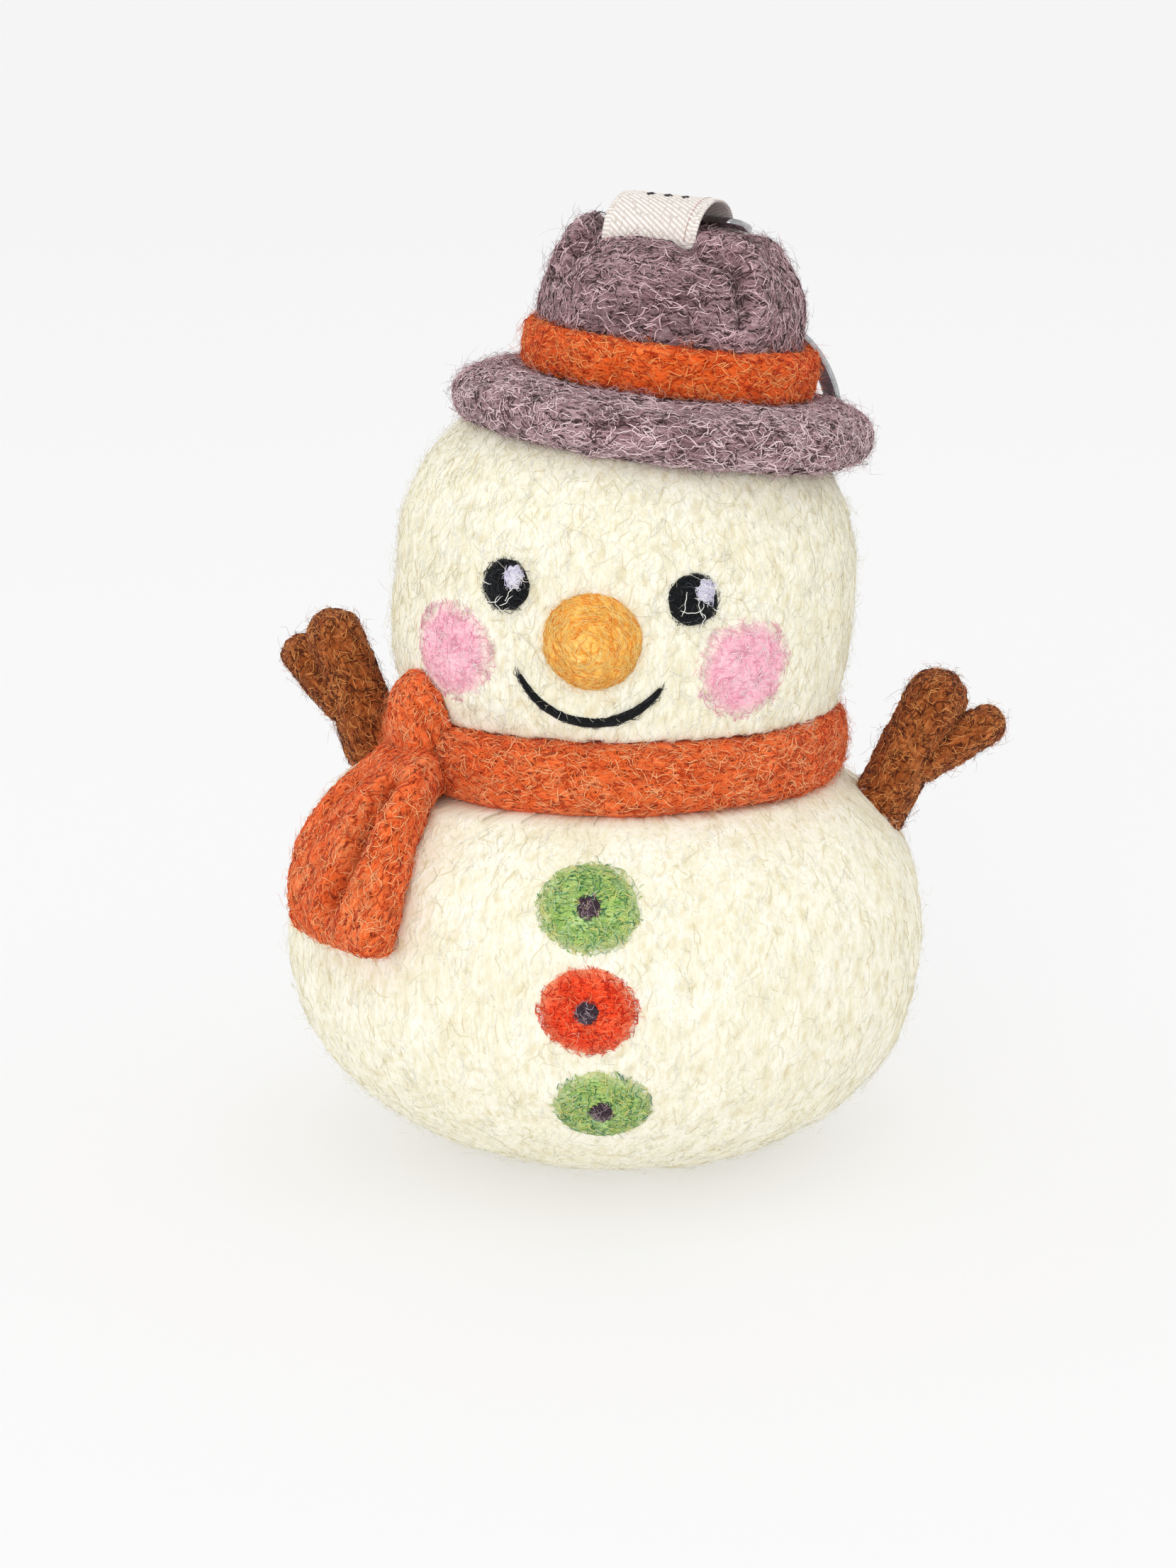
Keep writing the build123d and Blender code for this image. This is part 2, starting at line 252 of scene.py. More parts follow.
def ball_grid(count):
    """Directions over a cube's six faces, and the quads between them."""
    steps = np.tan(np.linspace(-1, 1, count + 1) * math.pi / 4)
    u, v = (g.ravel() for g in np.meshgrid(steps, steps, indexing="ij"))
    one = np.ones_like(u)
    sides = [(one, u, v), (-one, v, u), (v, one, u), (u, -one, v), (u, v, one), (v, u, -one)]
    points = np.concatenate([np.stack(s, 1) for s in sides])
    row, column = np.meshgrid(np.arange(count), np.arange(count), indexing="ij")
    first = (row * (count + 1) + column).ravel()
    quad = np.stack([first, first + count + 1, first + count + 2, first + 1], 1)
    quads = np.concatenate([quad + k * (count + 1) ** 2 for k in range(6)])
    keys, index = np.unique(np.round(points, 7), axis=0, return_inverse=True)
    return unit(keys), index.ravel()[quads]


def fan_quads(rings, spokes):
    """Triangles round a middle point, and the quads between the rings of points outside it."""
    k = np.arange(spokes)
    after = (k + 1) % spokes
    quads = [np.stack([1 + r * spokes + k, 1 + (r + 1) * spokes + k,
                       1 + (r + 1) * spokes + after, 1 + r * spokes + after], 1) for r in range(rings - 1)]
    return np.stack([0 * k, 1 + k, 1 + after], 1), quads


def voxel_skin(node, voxel, rounds):
    """A CAD node's shape as an even skin of small quads with softened edges, in millimetres."""
    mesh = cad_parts[node].data.copy()
    points = np.empty(len(mesh.vertices) * 3, np.float32)
    mesh.vertices.foreach_get("co", points)
    mesh.vertices.foreach_set("co", points / MM)
    mesh.update()
    work = bpy.data.objects.new("work", mesh)
    bpy.context.scene.collection.objects.link(work)
    voxels = work.modifiers.new("voxels", "REMESH")
    voxels.mode = "VOXEL"
    voxels.voxel_size = voxel
    made = work.evaluated_get(bpy.context.evaluated_depsgraph_get()).to_mesh()
    points = np.empty(len(made.vertices) * 3, np.float32)
    made.vertices.foreach_get("co", points)
    corners = np.empty(len(made.loops), np.int32)
    made.loops.foreach_get("vertex_index", corners)
    bpy.data.objects.remove(work)
    bpy.data.meshes.remove(mesh)
    quads = corners.reshape(-1, 4)
    return relax(points.reshape(-1, 3).astype(float), quads, rounds), quads


# ---- wool: the relief of a needled surface, and the loose fibres on it ----


def wool_relief(points, grain, lump, streak, pit, seed):
    """How far needled wool stands out at each point in millimetres, and how much painted shade its pits and
    streak valleys take there.
    """
    lumps = lump * (noise(points / 5.5, seed) + 0.4 * noise(points / 2.2, seed + 1))
    streaks = noise(grain * (0.33, 1.2, 1.2), seed + 2)
    pits = smoothstep(0.25, 0.6, noise(grain * (0.7, 1.15, 1.15), seed + 3))
    height = lumps + streak * streaks - pit * pits
    hollow_shade = np.clip(0.5 * pits + 0.25 * smoothstep(0.0, -0.5, streaks), 0, 1)
    return height, hollow_shade


def fibres(name, roots, normals, grain, colours, rng, length, width, lift=0.12, turn=25.0,
           curl=0.25, bend=1e3, stray=0.0, stray_length=1.5, segments=4):
    """Short curly wool fibres, needled in at both ends, some of them standing out as fuzz.

    length and width are (least, most) in millimetres, turn is degrees off the grain, bend is the
    radius of the surface along the grain and stray is the share that stands out.
    """
    count = len(roots)
    steps = np.linspace(-1, 1, segments + 1)
    angle = np.radians(rng.normal(0, turn, count))
    side = np.cross(normals, grain)
    way = grain * np.cos(angle)[:, None] + side * np.sin(angle)[:, None]
    side = np.cross(normals, way)
    half = rng.uniform(*length, count) / 2
    wide = rng.uniform(*width, count) / 2
    sway = rng.normal(0, curl, count) * half
    wave = rng.normal(0, curl * 0.6, count) * half
    rise = lift * rng.uniform(0.4, 1.4, count)
    s = steps[None, :]
    run = half[:, None] * s
    across = sway[:, None] * (s * s - 0.4) + wave[:, None] * np.sin(math.pi * s)
    height = rise[:, None] * (1 - 1.55 * s * s) - run * run / (2 * bend)
    standing = rng.uniform(size=count) < stray
    reach = rng.gamma(3.0, stray_length / 3, count)
    t = (s + 1) / 2
    arc = rng.uniform(0.2, 1.3, count)[:, None]
    run = np.where(standing[:, None], reach[:, None] * (t * arc + 0.35 * t * t), run)
    height = np.where(standing[:, None], reach[:, None] * (t - 0.45 * arc * t * t) - 0.1, height)
    across = np.where(standing[:, None], across * 1.6, across)
    wide = np.where(standing, wide * 0.55, wide)
    path = (roots[:, None, :] + run[..., None] * way[:, None, :]
            + across[..., None] * side[:, None, :] + height[..., None] * normals[:, None, :])
    return tubes(name, path, wide, normals, colours, rng)


def tubes(name, path, radius, normals, colours, rng):
    """Thin three-sided threads along paths of equal numbers of points."""
    count, rings, _ = path.shape
    along = unit(np.gradient(path, axis=1))
    side = unit(np.cross(along, normals[:, None, :] + 1e-3))
    top = np.cross(side, along)
    s = np.linspace(-1, 1, rings)
    thin = radius[:, None] * (1 - 0.6 * s[None, :] ** 4)
    corners = []
    for k in range(3):
        angle = 2 * math.pi * k / 3 - math.pi / 2
        out = math.cos(angle) * side + math.sin(angle) * top
        corners.append(path + out * thin[..., None])
    points = np.stack(corners, 2).reshape(-1, 3)
    first = np.arange(count)[:, None, None] * rings * 3
    ring = np.arange(rings - 1)[None, :, None] * 3
    k = np.arange(3)[None, None, :]
    a = first + ring + k
    b = first + ring + (k + 1) % 3
    quads = np.stack([a, a + 3, b + 3, b], -1).reshape(-1, 4)
    base = np.arange(count)[:, None] * rings * 3
    start = base + np.array((0, 1, 2))
    end = base + (rings - 1) * 3 + np.array((2, 1, 0))
    kind = rng.choice(len(colours), count, p=[share for _, share in colours])
    shade = np.concatenate([np.repeat(kind, (rings - 1) * 3), kind, kind])
    piece = make_mesh(name, points, [quads, start, end], shade=shade)
    for material, _ in colours:
        piece.data.materials.append(material)
    return piece


def scatter(points, quads, count, rng, weight=None):
    """Random places on a mesh of quads, even by area. Returns the quad and the place."""
    a, b, c, d = (points[quads[:, k]] for k in range(4))
    area = np.linalg.norm(np.cross(c - a, d - b), axis=1)
    if weight is not None:
        area = area * weight[quads].mean(1)
    chosen = rng.choice(len(quads), count, p=area / area.sum())
    u, v = rng.uniform(size=(2, count, 1))
    place = (a[chosen] * (1 - u) + b[chosen] * u) * (1 - v) + (d[chosen] * (1 - u) + c[chosen] * u) * v
    return chosen, place


# ---- materials ----


def colour(red, green, blue):
    """A display colour as linear values."""
    return tuple((c / 255 / 12.92) if c <= 10 else ((c / 255 + 0.055) / 1.055) ** 2.4
                 for c in (red, green, blue)) + (1.0,)


def principled(name, base, roughness, sheen=0.0, metallic=0.0):
    material = bpy.data.materials.new(name)
    material.use_nodes = True
    shader = material.node_tree.nodes["Principled BSDF"]
    shader.inputs["Base Color"].default_value = base
    shader.inputs["Roughness"].default_value = roughness
    shader.inputs["Metallic"].default_value = metallic
    shader.inputs["Sheen Weight"].default_value = sheen
    shader.inputs["Sheen Roughness"].default_value = 0.5
    shader.inputs["Specular IOR Level"].default_value = 0.5 if metallic else 0.2
    return material, material.node_tree, shader


def add_node(tree, kind, **inputs):
    node = tree.nodes.new(kind)
    for key, value in inputs.items():
        node.inputs[key.replace("_", " ")].default_value = value
    return node


def noise_node(tree, source, stretch, detail=2.0):
    """Noise over a vector, stretched by different amounts along it."""
    scaled = add_node(tree, "ShaderNodeVectorMath")
    scaled.operation = "MULTIPLY"
    scaled.inputs[1].default_value = stretch
    tree.links.new(source, scaled.inputs[0])
    pattern = add_node(tree, "ShaderNodeTexNoise", Scale=1.0, Detail=detail, Roughness=0.6)
    tree.links.new(scaled.outputs[0], pattern.inputs["Vector"])
    return pattern.outputs["Fac"]


def wool_bump(tree, shader, grain, depth):
    """Fine fibre relief under the modelled one. depth is in metres."""
    fine = noise_node(tree, grain, (1.3, 7.0, 7.0), 3.0)
    bump = add_node(tree, "ShaderNodeBump", Strength=0.8, Distance=depth)
    tree.links.new(fine, bump.inputs["Height"])
    tree.links.new(bump.outputs["Normal"], shader.inputs["Normal"])


def wool_material(name, shades, hollow_shade, sheen=0.1, bump=0.00016, rim=None, holes_depth=0.9,
                  stops=(0.36, 0.52, 0.68)):
    """Needled wool: shades that run with the grain, and a darker painted shade in random needle-hole specks
    and in the pits and creases that each piece marks.

    stops are the shades' places in their mix. rim is the shade at a patch's soft edge.
    """
    material, tree, shader = principled(name, colour(*shades[0]), 0.95, sheen)
    grain = add_node(tree, "ShaderNodeAttribute")
    grain.attribute_name = "grain"
    streaks = noise_node(tree, grain.outputs["Vector"], (0.55, 3.2, 3.2), 3.0)
    clouds = noise_node(tree, grain.outputs["Vector"], (0.16, 0.2, 0.2), 2.0)
    blend = add_node(tree, "ShaderNodeMath")
    blend.operation = "MULTIPLY_ADD"
    blend.inputs[1].default_value = 0.45
    tree.links.new(clouds, blend.inputs[0])
    part = add_node(tree, "ShaderNodeMath")
    part.operation = "MULTIPLY"
    part.inputs[1].default_value = 0.62
    tree.links.new(streaks, part.inputs[0])
    tree.links.new(part.outputs[0], blend.inputs[2])
    ramp = add_node(tree, "ShaderNodeValToRGB")
    while len(ramp.color_ramp.elements) < len(stops):
        ramp.color_ramp.elements.new(0.5)
    for element, place, shade in zip(ramp.color_ramp.elements, stops, shades):
        element.position = place
        element.color = colour(*shade)
    tree.links.new(blend.outputs[0], ramp.inputs[0])
    last = ramp.outputs["Color"]
    # Random specks painted in the darker shade, standing for shade in needle holes.
    specks = noise_node(tree, grain.outputs["Vector"], (1.2, 2.8, 2.8), 1.0)
    holes = add_node(tree, "ShaderNodeMapRange", From_Min=0.54, From_Max=0.66, To_Max=holes_depth)
    tree.links.new(specks, holes.inputs["Value"])
    layers = [(holes.outputs["Result"], hollow_shade)]
    # Painted shade in the pits and creases that a piece marks, then the soft edge's own colour.
    for key, shade in (("hollow_shade", hollow_shade), ("rim", rim)):
        if shade is not None:
            place = add_node(tree, "ShaderNodeAttribute")
            place.attribute_name = key
            layers.append((place.outputs["Fac"], shade))
    for amount, shade in layers:
        mix = add_node(tree, "ShaderNodeMix")
        mix.data_type = "RGBA"
        mix.inputs[7].default_value = colour(*shade)
        tree.links.new(amount, mix.inputs[0])
        tree.links.new(last, mix.inputs[6])
        last = mix.outputs[2]
    tree.links.new(last, shader.inputs["Base Color"])
    wool_bump(tree, shader, grain.outputs["Vector"], bump)
    return material


def fibre_material(name, shade, roughness=0.8):
    """One dyed shade of single fibres, a little uneven along their length."""
    material, tree, shader = principled(name, colour(*shade), roughness, 0.08)
    place = add_node(tree, "ShaderNodeTexCoord")
    scales = noise_node(tree, place.outputs["Object"], (9000.0, 9000.0, 9000.0), 1.0)
    bump = add_node(tree, "ShaderNodeBump", Strength=0.3, Distance=0.00001)
    tree.links.new(scales, bump.inputs["Height"])
    tree.links.new(bump.outputs["Normal"], shader.inputs["Normal"])
    return material


def dyed(name, *shades, roughness=0.8):
    """The fibres of one wool, with each shade's share. shades are (ending, shade, share)."""
    return [(fibre_material(name + ending, shade, roughness), share) for ending, shade, share in shades]


# A wool's felt, the record's material slot that it belongs to, and the fibres on it.
Wool = collections.namedtuple("Wool", "felt slot fibres")


# Each wool's second colour is the painted shade for its needle holes, pits and creases.
cream = Wool(
    wool_material("cream_wool", [(238, 231, 203), (249, 245, 224), (255, 253, 241)], (226, 213, 170),
                  bump=0.00005, holes_depth=0.3),
    "cream_felt",
    dyed("cream_fibre", ("_light", (255, 254, 246), 0.45), ("", (252, 248, 228), 0.37),
         ("_deep", (240, 230, 198), 0.18)))
hat = Wool(
    wool_material("hat_wool", [(96, 66, 70), (154, 119, 124), (208, 176, 180)], (40, 20, 22), sheen=0.4),
    "hat_felt",
    dyed("hat_fibre", ("_light", (236, 204, 208), 0.34), ("", (178, 140, 146), 0.38),
         ("_deep", (60, 34, 38), 0.28)))
# The brim's fibres are a lighter copy of the hat's: painted light, for the light that falls on the brim's
# top.
brim = hat._replace(
    fibres=dyed("brim_lit_fibre", ("_light", (248, 222, 226), 0.44), ("", (194, 158, 164), 0.38),
                ("_deep", (74, 44, 48), 0.18)))
band = Wool(
    wool_material("band_wool", [(216, 74, 18), (250, 106, 38), (255, 146, 76)], (150, 34, 6)),
    "band_felt",
    dyed("band_fibre", ("_light", (255, 166, 98), 0.32), ("", (250, 112, 40), 0.40),
         ("_deep", (196, 56, 10), 0.28)))
scarf = Wool(
    wool_material("scarf_wool", [(226, 88, 34), (255, 120, 58), (255, 158, 96)], (128, 34, 8)),
    "scarf_felt",
    dyed("scarf_fibre", ("_light", (255, 176, 120), 0.34), ("", (255, 122, 54), 0.42),
         ("_deep", (200, 66, 20), 0.24)))
brown = Wool(
    wool_material("brown_wool", [(116, 54, 20), (168, 88, 38), (212, 132, 72)], (60, 20, 4)),
    "brown_felt",
    dyed("brown_fibre", ("_light", (220, 148, 84), 0.32), ("", (170, 88, 36), 0.40),
         ("_deep", (88, 34, 8), 0.28)))
black = Wool(
    wool_material("black_wool", [(10, 11, 13), (16, 18, 20), (30, 32, 35)], (4, 5, 6), sheen=0.05),
    "black_felt",
    dyed("black_fibre", ("", (24, 26, 29), 0.8), ("_grey", (62, 64, 70), 0.2), roughness=0.5))
glint = Wool(
    wool_material("glint_wool", [(196, 188, 216), (226, 222, 240), (246, 244, 252)], (140, 130, 160),
                  holes_depth=0.5),
    "glint_felt",
    dyed("glint_fibre", ("_light", (250, 249, 255), 0.6), ("", (214, 206, 232), 0.4)))
pink = Wool(
    wool_material("pink_wool", [(252, 172, 194), (255, 194, 209), (255, 218, 225)], (238, 148, 178),
                  rim=(255, 240, 226), bump=0.00008, holes_depth=0.35),
    "pink_felt",
    dyed("pink_fibre", ("_light", (255, 230, 234), 0.42), ("", (255, 198, 212), 0.40),
         ("_deep", (244, 158, 184), 0.18)))
yellow = Wool(
    wool_material("nose_wool", [(255, 176, 62), (255, 202, 96), (255, 222, 136)], (240, 136, 30),
                  bump=0.0001, holes_depth=0.5),
    "nose_felt",
    dyed("nose_fibre", ("_light", (255, 224, 144), 0.4), ("", (255, 196, 88), 0.4),
         ("_deep", (250, 152, 46), 0.2)))
green = Wool(
    wool_material("green_wool", [(52, 128, 84), (134, 184, 92), (188, 214, 120), (190, 224, 172),
                                 (242, 232, 142)], (60, 96, 42), rim=(236, 234, 186), bump=0.0001,
                  stops=(0.30, 0.42, 0.54, 0.66, 0.76)),
    "green_felt",
    dyed("green_fibre", ("_leaf", (158, 198, 104), 0.34), ("_mint", (186, 218, 168), 0.22),
         ("_lime", (232, 224, 136), 0.24), ("_teal", (50, 124, 84), 0.20)))
red = Wool(
    wool_material("red_wool", [(232, 50, 18), (255, 78, 34), (255, 126, 80)], (170, 20, 6),
                  rim=(250, 178, 136), bump=0.0001),
    "red_felt",
    dyed("red_fibre", ("_light", (255, 136, 92), 0.3), ("", (250, 74, 32), 0.46),
         ("_deep", (190, 28, 8), 0.24)))
dot = Wool(
    wool_material("dot_wool", [(42, 30, 38), (72, 54, 64), (134, 112, 120)], (20, 12, 16)),
    "dot_felt",
    dyed("dot_fibre", ("_light", (170, 148, 156), 0.35), ("", (76, 58, 68), 0.65)))

# ---- pieces of wool ----


def finish(piece, slot, *nodes):
    """Fixes a piece to the figure, and lets it stand for CAD nodes."""
    if nodes:
        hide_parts(*nodes)
    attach(piece, "figure")
    return piece


def felt_mesh(name, points, faces, attributes, wool, node):
    piece = make_mesh(name, points, faces, attributes)
    piece.data.materials.append(wool.felt)
    return finish(piece, wool.slot, node)


def fuzz(name, points, quads, shown, count, wool, rng, bend, length):
    """The halo of single hairs that stand out of a felted surface."""
    chosen, roots = scatter(points, quads, count, rng, shown)
    normals = unit(surface_normals(points, quads)[quads[chosen]].mean(1))
    way = unit(np.cross(normals, rng.normal(size=(count, 3))))
    made = fibres(name + "_fuzz", roots, normals, way, wool.fibres, rng, (0.6, 1.5), (0.04, 0.065),
                  curl=0.9, bend=bend, stray=1.0, stray_length=length)
    finish(made, wool.slot)


def wool_ball(name, ball, count, node, seed, cut):
    """A felted ball with up-and-down grain. cut presses it to the shape of its neighbours."""
    rng = np.random.default_rng(seed)
    directions, quads = ball_grid(count)
    points = ball.on_surface(ball.centre + directions * 20)
    normals = ball.normals(points)
    side, back, rise, _, _ = ball.parts(points)
    grain = np.stack([rise, side, back], 1)
    height, hollow_shade = wool_relief(points, grain, 0.24, 0.03, 0.07, seed)
    points = cut(points + normals * height[:, None])
    piece = felt_mesh(name, points, [quads], {"grain": grain, "hollow_shade": hollow_shade}, cream, node)
    return points, quads, rng


def level_ground(points):
    return flatten(points, np.zeros(3), -UP)


def cut_body(points):
    points = press_for_scarf(level_ground(points))
    return flatten(points, np.array((0, 0, neck_height)), UP)


def cut_head(points):
    points = flatten(points, brim_centre - brim_up * (brim_half_thick - 0.1), brim_up)
    points = flatten(points, np.array((0, 0, neck_height)), -UP)
    return press_for_scarf(points)


def ball_fibres(name, ball, points, quads, keep, count, rng):
    """Cream fibres that run mostly up and down a ball, where keep allows."""
    chosen, roots = scatter(points, quads, count, rng, keep)
    normals = unit(surface_normals(points, quads)[quads[chosen]].mean(1))
    grain = unit(ball.up - (normals @ ball.up)[:, None] * normals)
    made = fibres(name + "_fibres", roots, normals, grain, cream.fibres, rng, (1.0, 3.0), (0.05, 0.10),
                  lift=0.06, turn=28, curl=0.3, bend=30, stray=0.04, stray_length=0.9)
    fuzz(name, points, quads, keep, 6000, cream, rng, 30, 0.75)
    finish(made, cream.slot)


body_points, body_quads, body_rng = wool_ball("body", body_ball, 100, "body_wool", 11, cut_body)
head_points, head_quads, head_rng = wool_ball("head", head_ball, 84, "head_wool", 12, cut_head)

body_shown = ((body_points[:, 2] > 1.2) & (body_points[:, 2] < 41.2)).astype(float)
head_shown = ((body_ball.grown(head_points) > 1.0)
              & ((head_points - brim_centre) @ brim_up < -brim_half_thick - 0.3)
              & (head_points[:, 2] > 49.0)).astype(float)
ball_fibres("body", body_ball, body_points, body_quads, body_shown, 7000, body_rng)
ball_fibres("head", head_ball, head_points, head_quads, head_shown, 6400, head_rng)


def turned_frame(points, centre, up):
    """Angle about an axis, distance from it and height along it."""
    side = unit(np.cross(BACK, up))
    offset = points - centre
    along, back, rise = offset @ side, offset @ BACK, offset @ up
    return np.arctan2(along, -back), np.hypot(along, back), rise


def round_about(points, centre, up):
    """The direction round an axis at each point."""
    offset = points - centre
    return unit(np.cross(up, offset))


def felt_piece(node, voxel, wool, seed, count, grain_of, way_of, relief, bare, shape, shown, halo, values):
    """A CAD node's skin in felt, with fibres and a halo of hairs.

    grain_of gives the grain's coordinates at points and way_of the fibres' directions there.
    relief is how high lumps, streaks and pits are, shape adds folds and how much painted shade
    each one takes, bare is the share of fibres that a fold lacks, shown is where fibres grow, and
    halo is the length of the standing hairs.
    """
    name = node + "_felt"
    rng = np.random.default_rng(seed)
    points, quads = voxel_skin(node, voxel, 3)
    normals = surface_normals(points, quads)
    grain = grain_of(points)
    height, hollow_shade = wool_relief(points, grain, *relief, seed)
    deep = np.zeros(len(points))
    if shape is not None:
        extra, deep = shape(points)
        height = height + extra
        # Folds are painted in shade as deep as they go.
        hollow_shade = np.maximum(hollow_shade, deep)
    points = points + normals * height[:, None]
    felt_mesh(name, points, [quads], {"grain": grain, "hollow_shade": hollow_shade}, wool, node)
    normals = surface_normals(points, quads)
    weight = (1 - bare * np.clip(deep, 0, 1)) * shown(points)
    chosen, roots = scatter(points, quads, count, rng, weight)
    normals = unit(normals[quads[chosen]].mean(1))
    made = fibres(name + "_fibres", roots, normals, way_of(roots, normals), wool.fibres, rng, **values)
    fuzz(name, points, quads, weight, count * 3 // 4, wool, rng, values["bend"], halo)
    finish(made, wool.slot)


def ring_wool(node, centre, up, radius, voxel, lump, wool, seed, count, shown, cross=None, shape=None):
    """A felt ring or disc about an axis, with grain round it, or up and down it where cross."""
    def grain_of(points):
        angle, out, rise = turned_frame(points, centre, up)
        return np.stack([angle * radius, rise, out], 1)

    def way_of(roots, normals):
        way = level(round_about(roots, centre, up), normals)
        if cross is None:
            return way
        on_side = cross(roots)[:, None]
        return unit(way * (1 - on_side) + np.cross(normals, way) * on_side)

    values = dict(length=(0.9, 2.4), width=(0.08, 0.15), lift=0.14, turn=32, curl=0.4, bend=radius,
                  stray=0.05, stray_length=0.7)
    felt_piece(node, voxel, wool, seed, count, grain_of, way_of, (lump, 0.08, 0.16), 0.8, shape, shown,
               0.7, values)


# ---- hat: the crown's front panel is set in between two creases, with a lobe at each side ----

left_crease = [(1.2, -2.0, 98.7), (0.1, -3.7, 98.6), (-1.0, -6.3, 97.6), (-2.3, -7.1, 96.1),
               (-3.3, -8.0, 93.4)]
right_crease = [(9.0, -7.6, 97.9), (10.1, -9.5, 97.2), (12.0, -10.0, 96.3), (14.0, -10.0, 95.2),
                (14.7, -10.6, 93.4), (15.0, -11.0, 91.1), (15.2, -11.1, 88.2)]


def crown_shape(points):
    """Creases beside the front panel, and the fuller lobes outside them; the creases and the front panel
    low down are painted in shade.
    """
    height = np.zeros(len(points))
    deep = np.zeros(len(points))
    for crease, depth, outward in ((left_crease, 1.2, -1), (right_crease, 1.5, 1)):
        distance, place = along_path(points, crease)
        fade = smoothstep(1.0, 0.72, place) * smoothstep(-0.05, 0.08, place)
        groove = np.exp(-((distance / 0.6) ** 2)) * fade
        middle = np.interp(place, np.linspace(0, 1, len(crease)), np.array(crease)[:, 0])
        outside = smoothstep(-0.2, 1.2, (points[:, 0] - middle) * outward)
        lobe = 1.1 * np.exp(-(((distance - 1.8) / 2.4) ** 2)) * outside * fade
        height += lobe - depth * groove
        deep = np.maximum(deep, 0.9 * groove)
    between = smoothstep(-2.6, 0.6, points[:, 0]) * smoothstep(14.2, 10.0, points[:, 0])
    facing = smoothstep(-4.0, -6.5, points[:, 1])
    front = facing * smoothstep(93.0, 96.5, points[:, 2])
    # Painted shade low down on the front panel.
    low = 0.45 * between * facing * smoothstep(95.0, 90.5, points[:, 2])
    return height - 0.8 * between * front, np.maximum(deep, low)


def crown_sides(points):
    """1 where the crown's fibres run up and down, at its two sides and the back."""
    angle, _, rise = turned_frame(points, brim_centre, crown_up)
    return smoothstep(0.55, 0.95, np.abs(angle - 0.1)) * (rise < crown_height - 1)


def above_brim(points):
    return (points - brim_centre) @ brim_up > 3.4


def brim_shown(points):
    """The brim outside the crown, and its underside outside the head."""
    _, out, rise = turned_frame(points, brim_centre, brim_up)
    return ((rise > 0) & (out > 13.5)) | ((rise <= 0) & (head_ball.grown(points) > 1.02))


ring_wool("hat_crown", brim_centre, crown_up, 13.5, 0.36, 0.26, hat, 21, 6400, above_brim,
          cross=crown_sides, shape=crown_shape)
ring_wool("hat_brim", brim_centre, brim_up, 20, 0.40, 0.28, brim, 22, 7000, brim_shown)


def band_shape(points):
    """The band bulges between its edges."""
    _, out, rise = turned_frame(points, brim_centre, brim_up)
    bulge = np.maximum(1 - ((rise - 5.85) / 2.6) ** 2, 0)
    return 0.45 * bulge * (out > 13.5), np.zeros(len(points))


def band_outside(points):
    _, out, _ = turned_frame(points, brim_centre, brim_up)
    return out > 13.9


ring_wool("hat_band", brim_centre, brim_up, 15, 0.26, 0.20, band, 23, 3000, band_outside, shape=band_shape)

# ---- scarf ----


def scarf_outside(points):
    offset = points - scarf_centre
    out = np.hypot(offset[:, 0], offset[:, 1])
    return (out > 21.5) & (head_ball.grown(points) > 1.0) & (body_ball.grown(points) > 1.0)


ring_wool("scarf_band", scarf_centre, UP, 24.6, 0.38, 0.22, scarf, 24, 6200, scarf_outside)


def swirl_field(points, scale, seed):
    """A smooth field of tangled directions."""
    return unit(np.stack([noise(points / scale, seed + k) for k in range(3)], 1) + 1e-6)


def stick_wool(node, axis_start, axis_end, voxel, lump, wool, seed, count, swirl, bend=3.0, shape=None):
    """A felt piece with its grain along a line, tangled by swirl."""
    start = np.array(axis_start, float)
    axis = unit(np.array(axis_end, float) - start)
    sideways = unit(np.cross(axis, BACK))

    def grain_of(points):
        offset = points - start
        return np.stack([offset @ axis, offset @ sideways, offset @ np.cross(axis, sideways)], 1)

    def way_of(roots, normals):
        return level(axis * (1 - swirl) + swirl * swirl_field(roots, 2.5, seed), normals, 1e-6)

    values = dict(length=(0.8, 2.0), width=(0.08, 0.14), lift=0.14, turn=35, curl=0.45, bend=bend,
                  stray=0.05, stray_length=0.6)
    felt_piece(node, voxel, wool, seed, count, grain_of, way_of, (lump, 0.07, 0.14), 0.95, shape,
               off_the_body, 0.6, values)


tail_crease = [(-19.4, -23.1, 44.2), (-20.1, -24.6, 42.8), (-21.3, -26.3, 40.4), (-22.5, -27.7, 37.4),
               (-24.2, -28.2, 34.2), (-25.8, -28.0, 30.9)]
tail_side_fold = [(-23.1, -19.7, 43.9), (-25.6, -20.7, 41.5), (-27.5, -22.3, 37.7)]


def tail_shape(points):
    """A deep lengthwise fold from under the knot, and a soft one beside it; both are painted in shade, the
    deep one darker.
    """
    distance, place = along_path(points, tail_crease)
    groove = np.exp(-((distance / 1.1) ** 2)) * smoothstep(1.0, 0.85, place)
    shoulder = 0.5 * np.exp(-(((distance - 2.2) / 1.5) ** 2))
    side_distance, side_place = along_path(points, tail_side_fold)
    side = np.exp(-((side_distance / 0.9) ** 2)) * smoothstep(1.0, 0.5, side_place)
    return shoulder - 2.8 * groove - 0.6 * side, np.maximum(groove, 0.5 * side)


def off_the_body(points):
    return (body_ball.grown(points) > 1.005) & (head_ball.grown(points) > 1.0)


stick_wool("scarf_tail", (-17, -23, 45), (-26, -28, 29), 0.28, 0.24, scarf, 25, 2400, 0.25, bend=20,
           shape=tail_shape)
stick_wool("scarf_knot", (-17.3, -15, 54), (-16, -15, 43), 0.26, 0.2, scarf, 26, 800, 0.3, bend=6)

# ---- arms ----


def fuller(points):
    """Wool wrapped a little thicker than the CAD's sticks."""
    return np.full(len(points), 0.3), np.zeros(len(points))


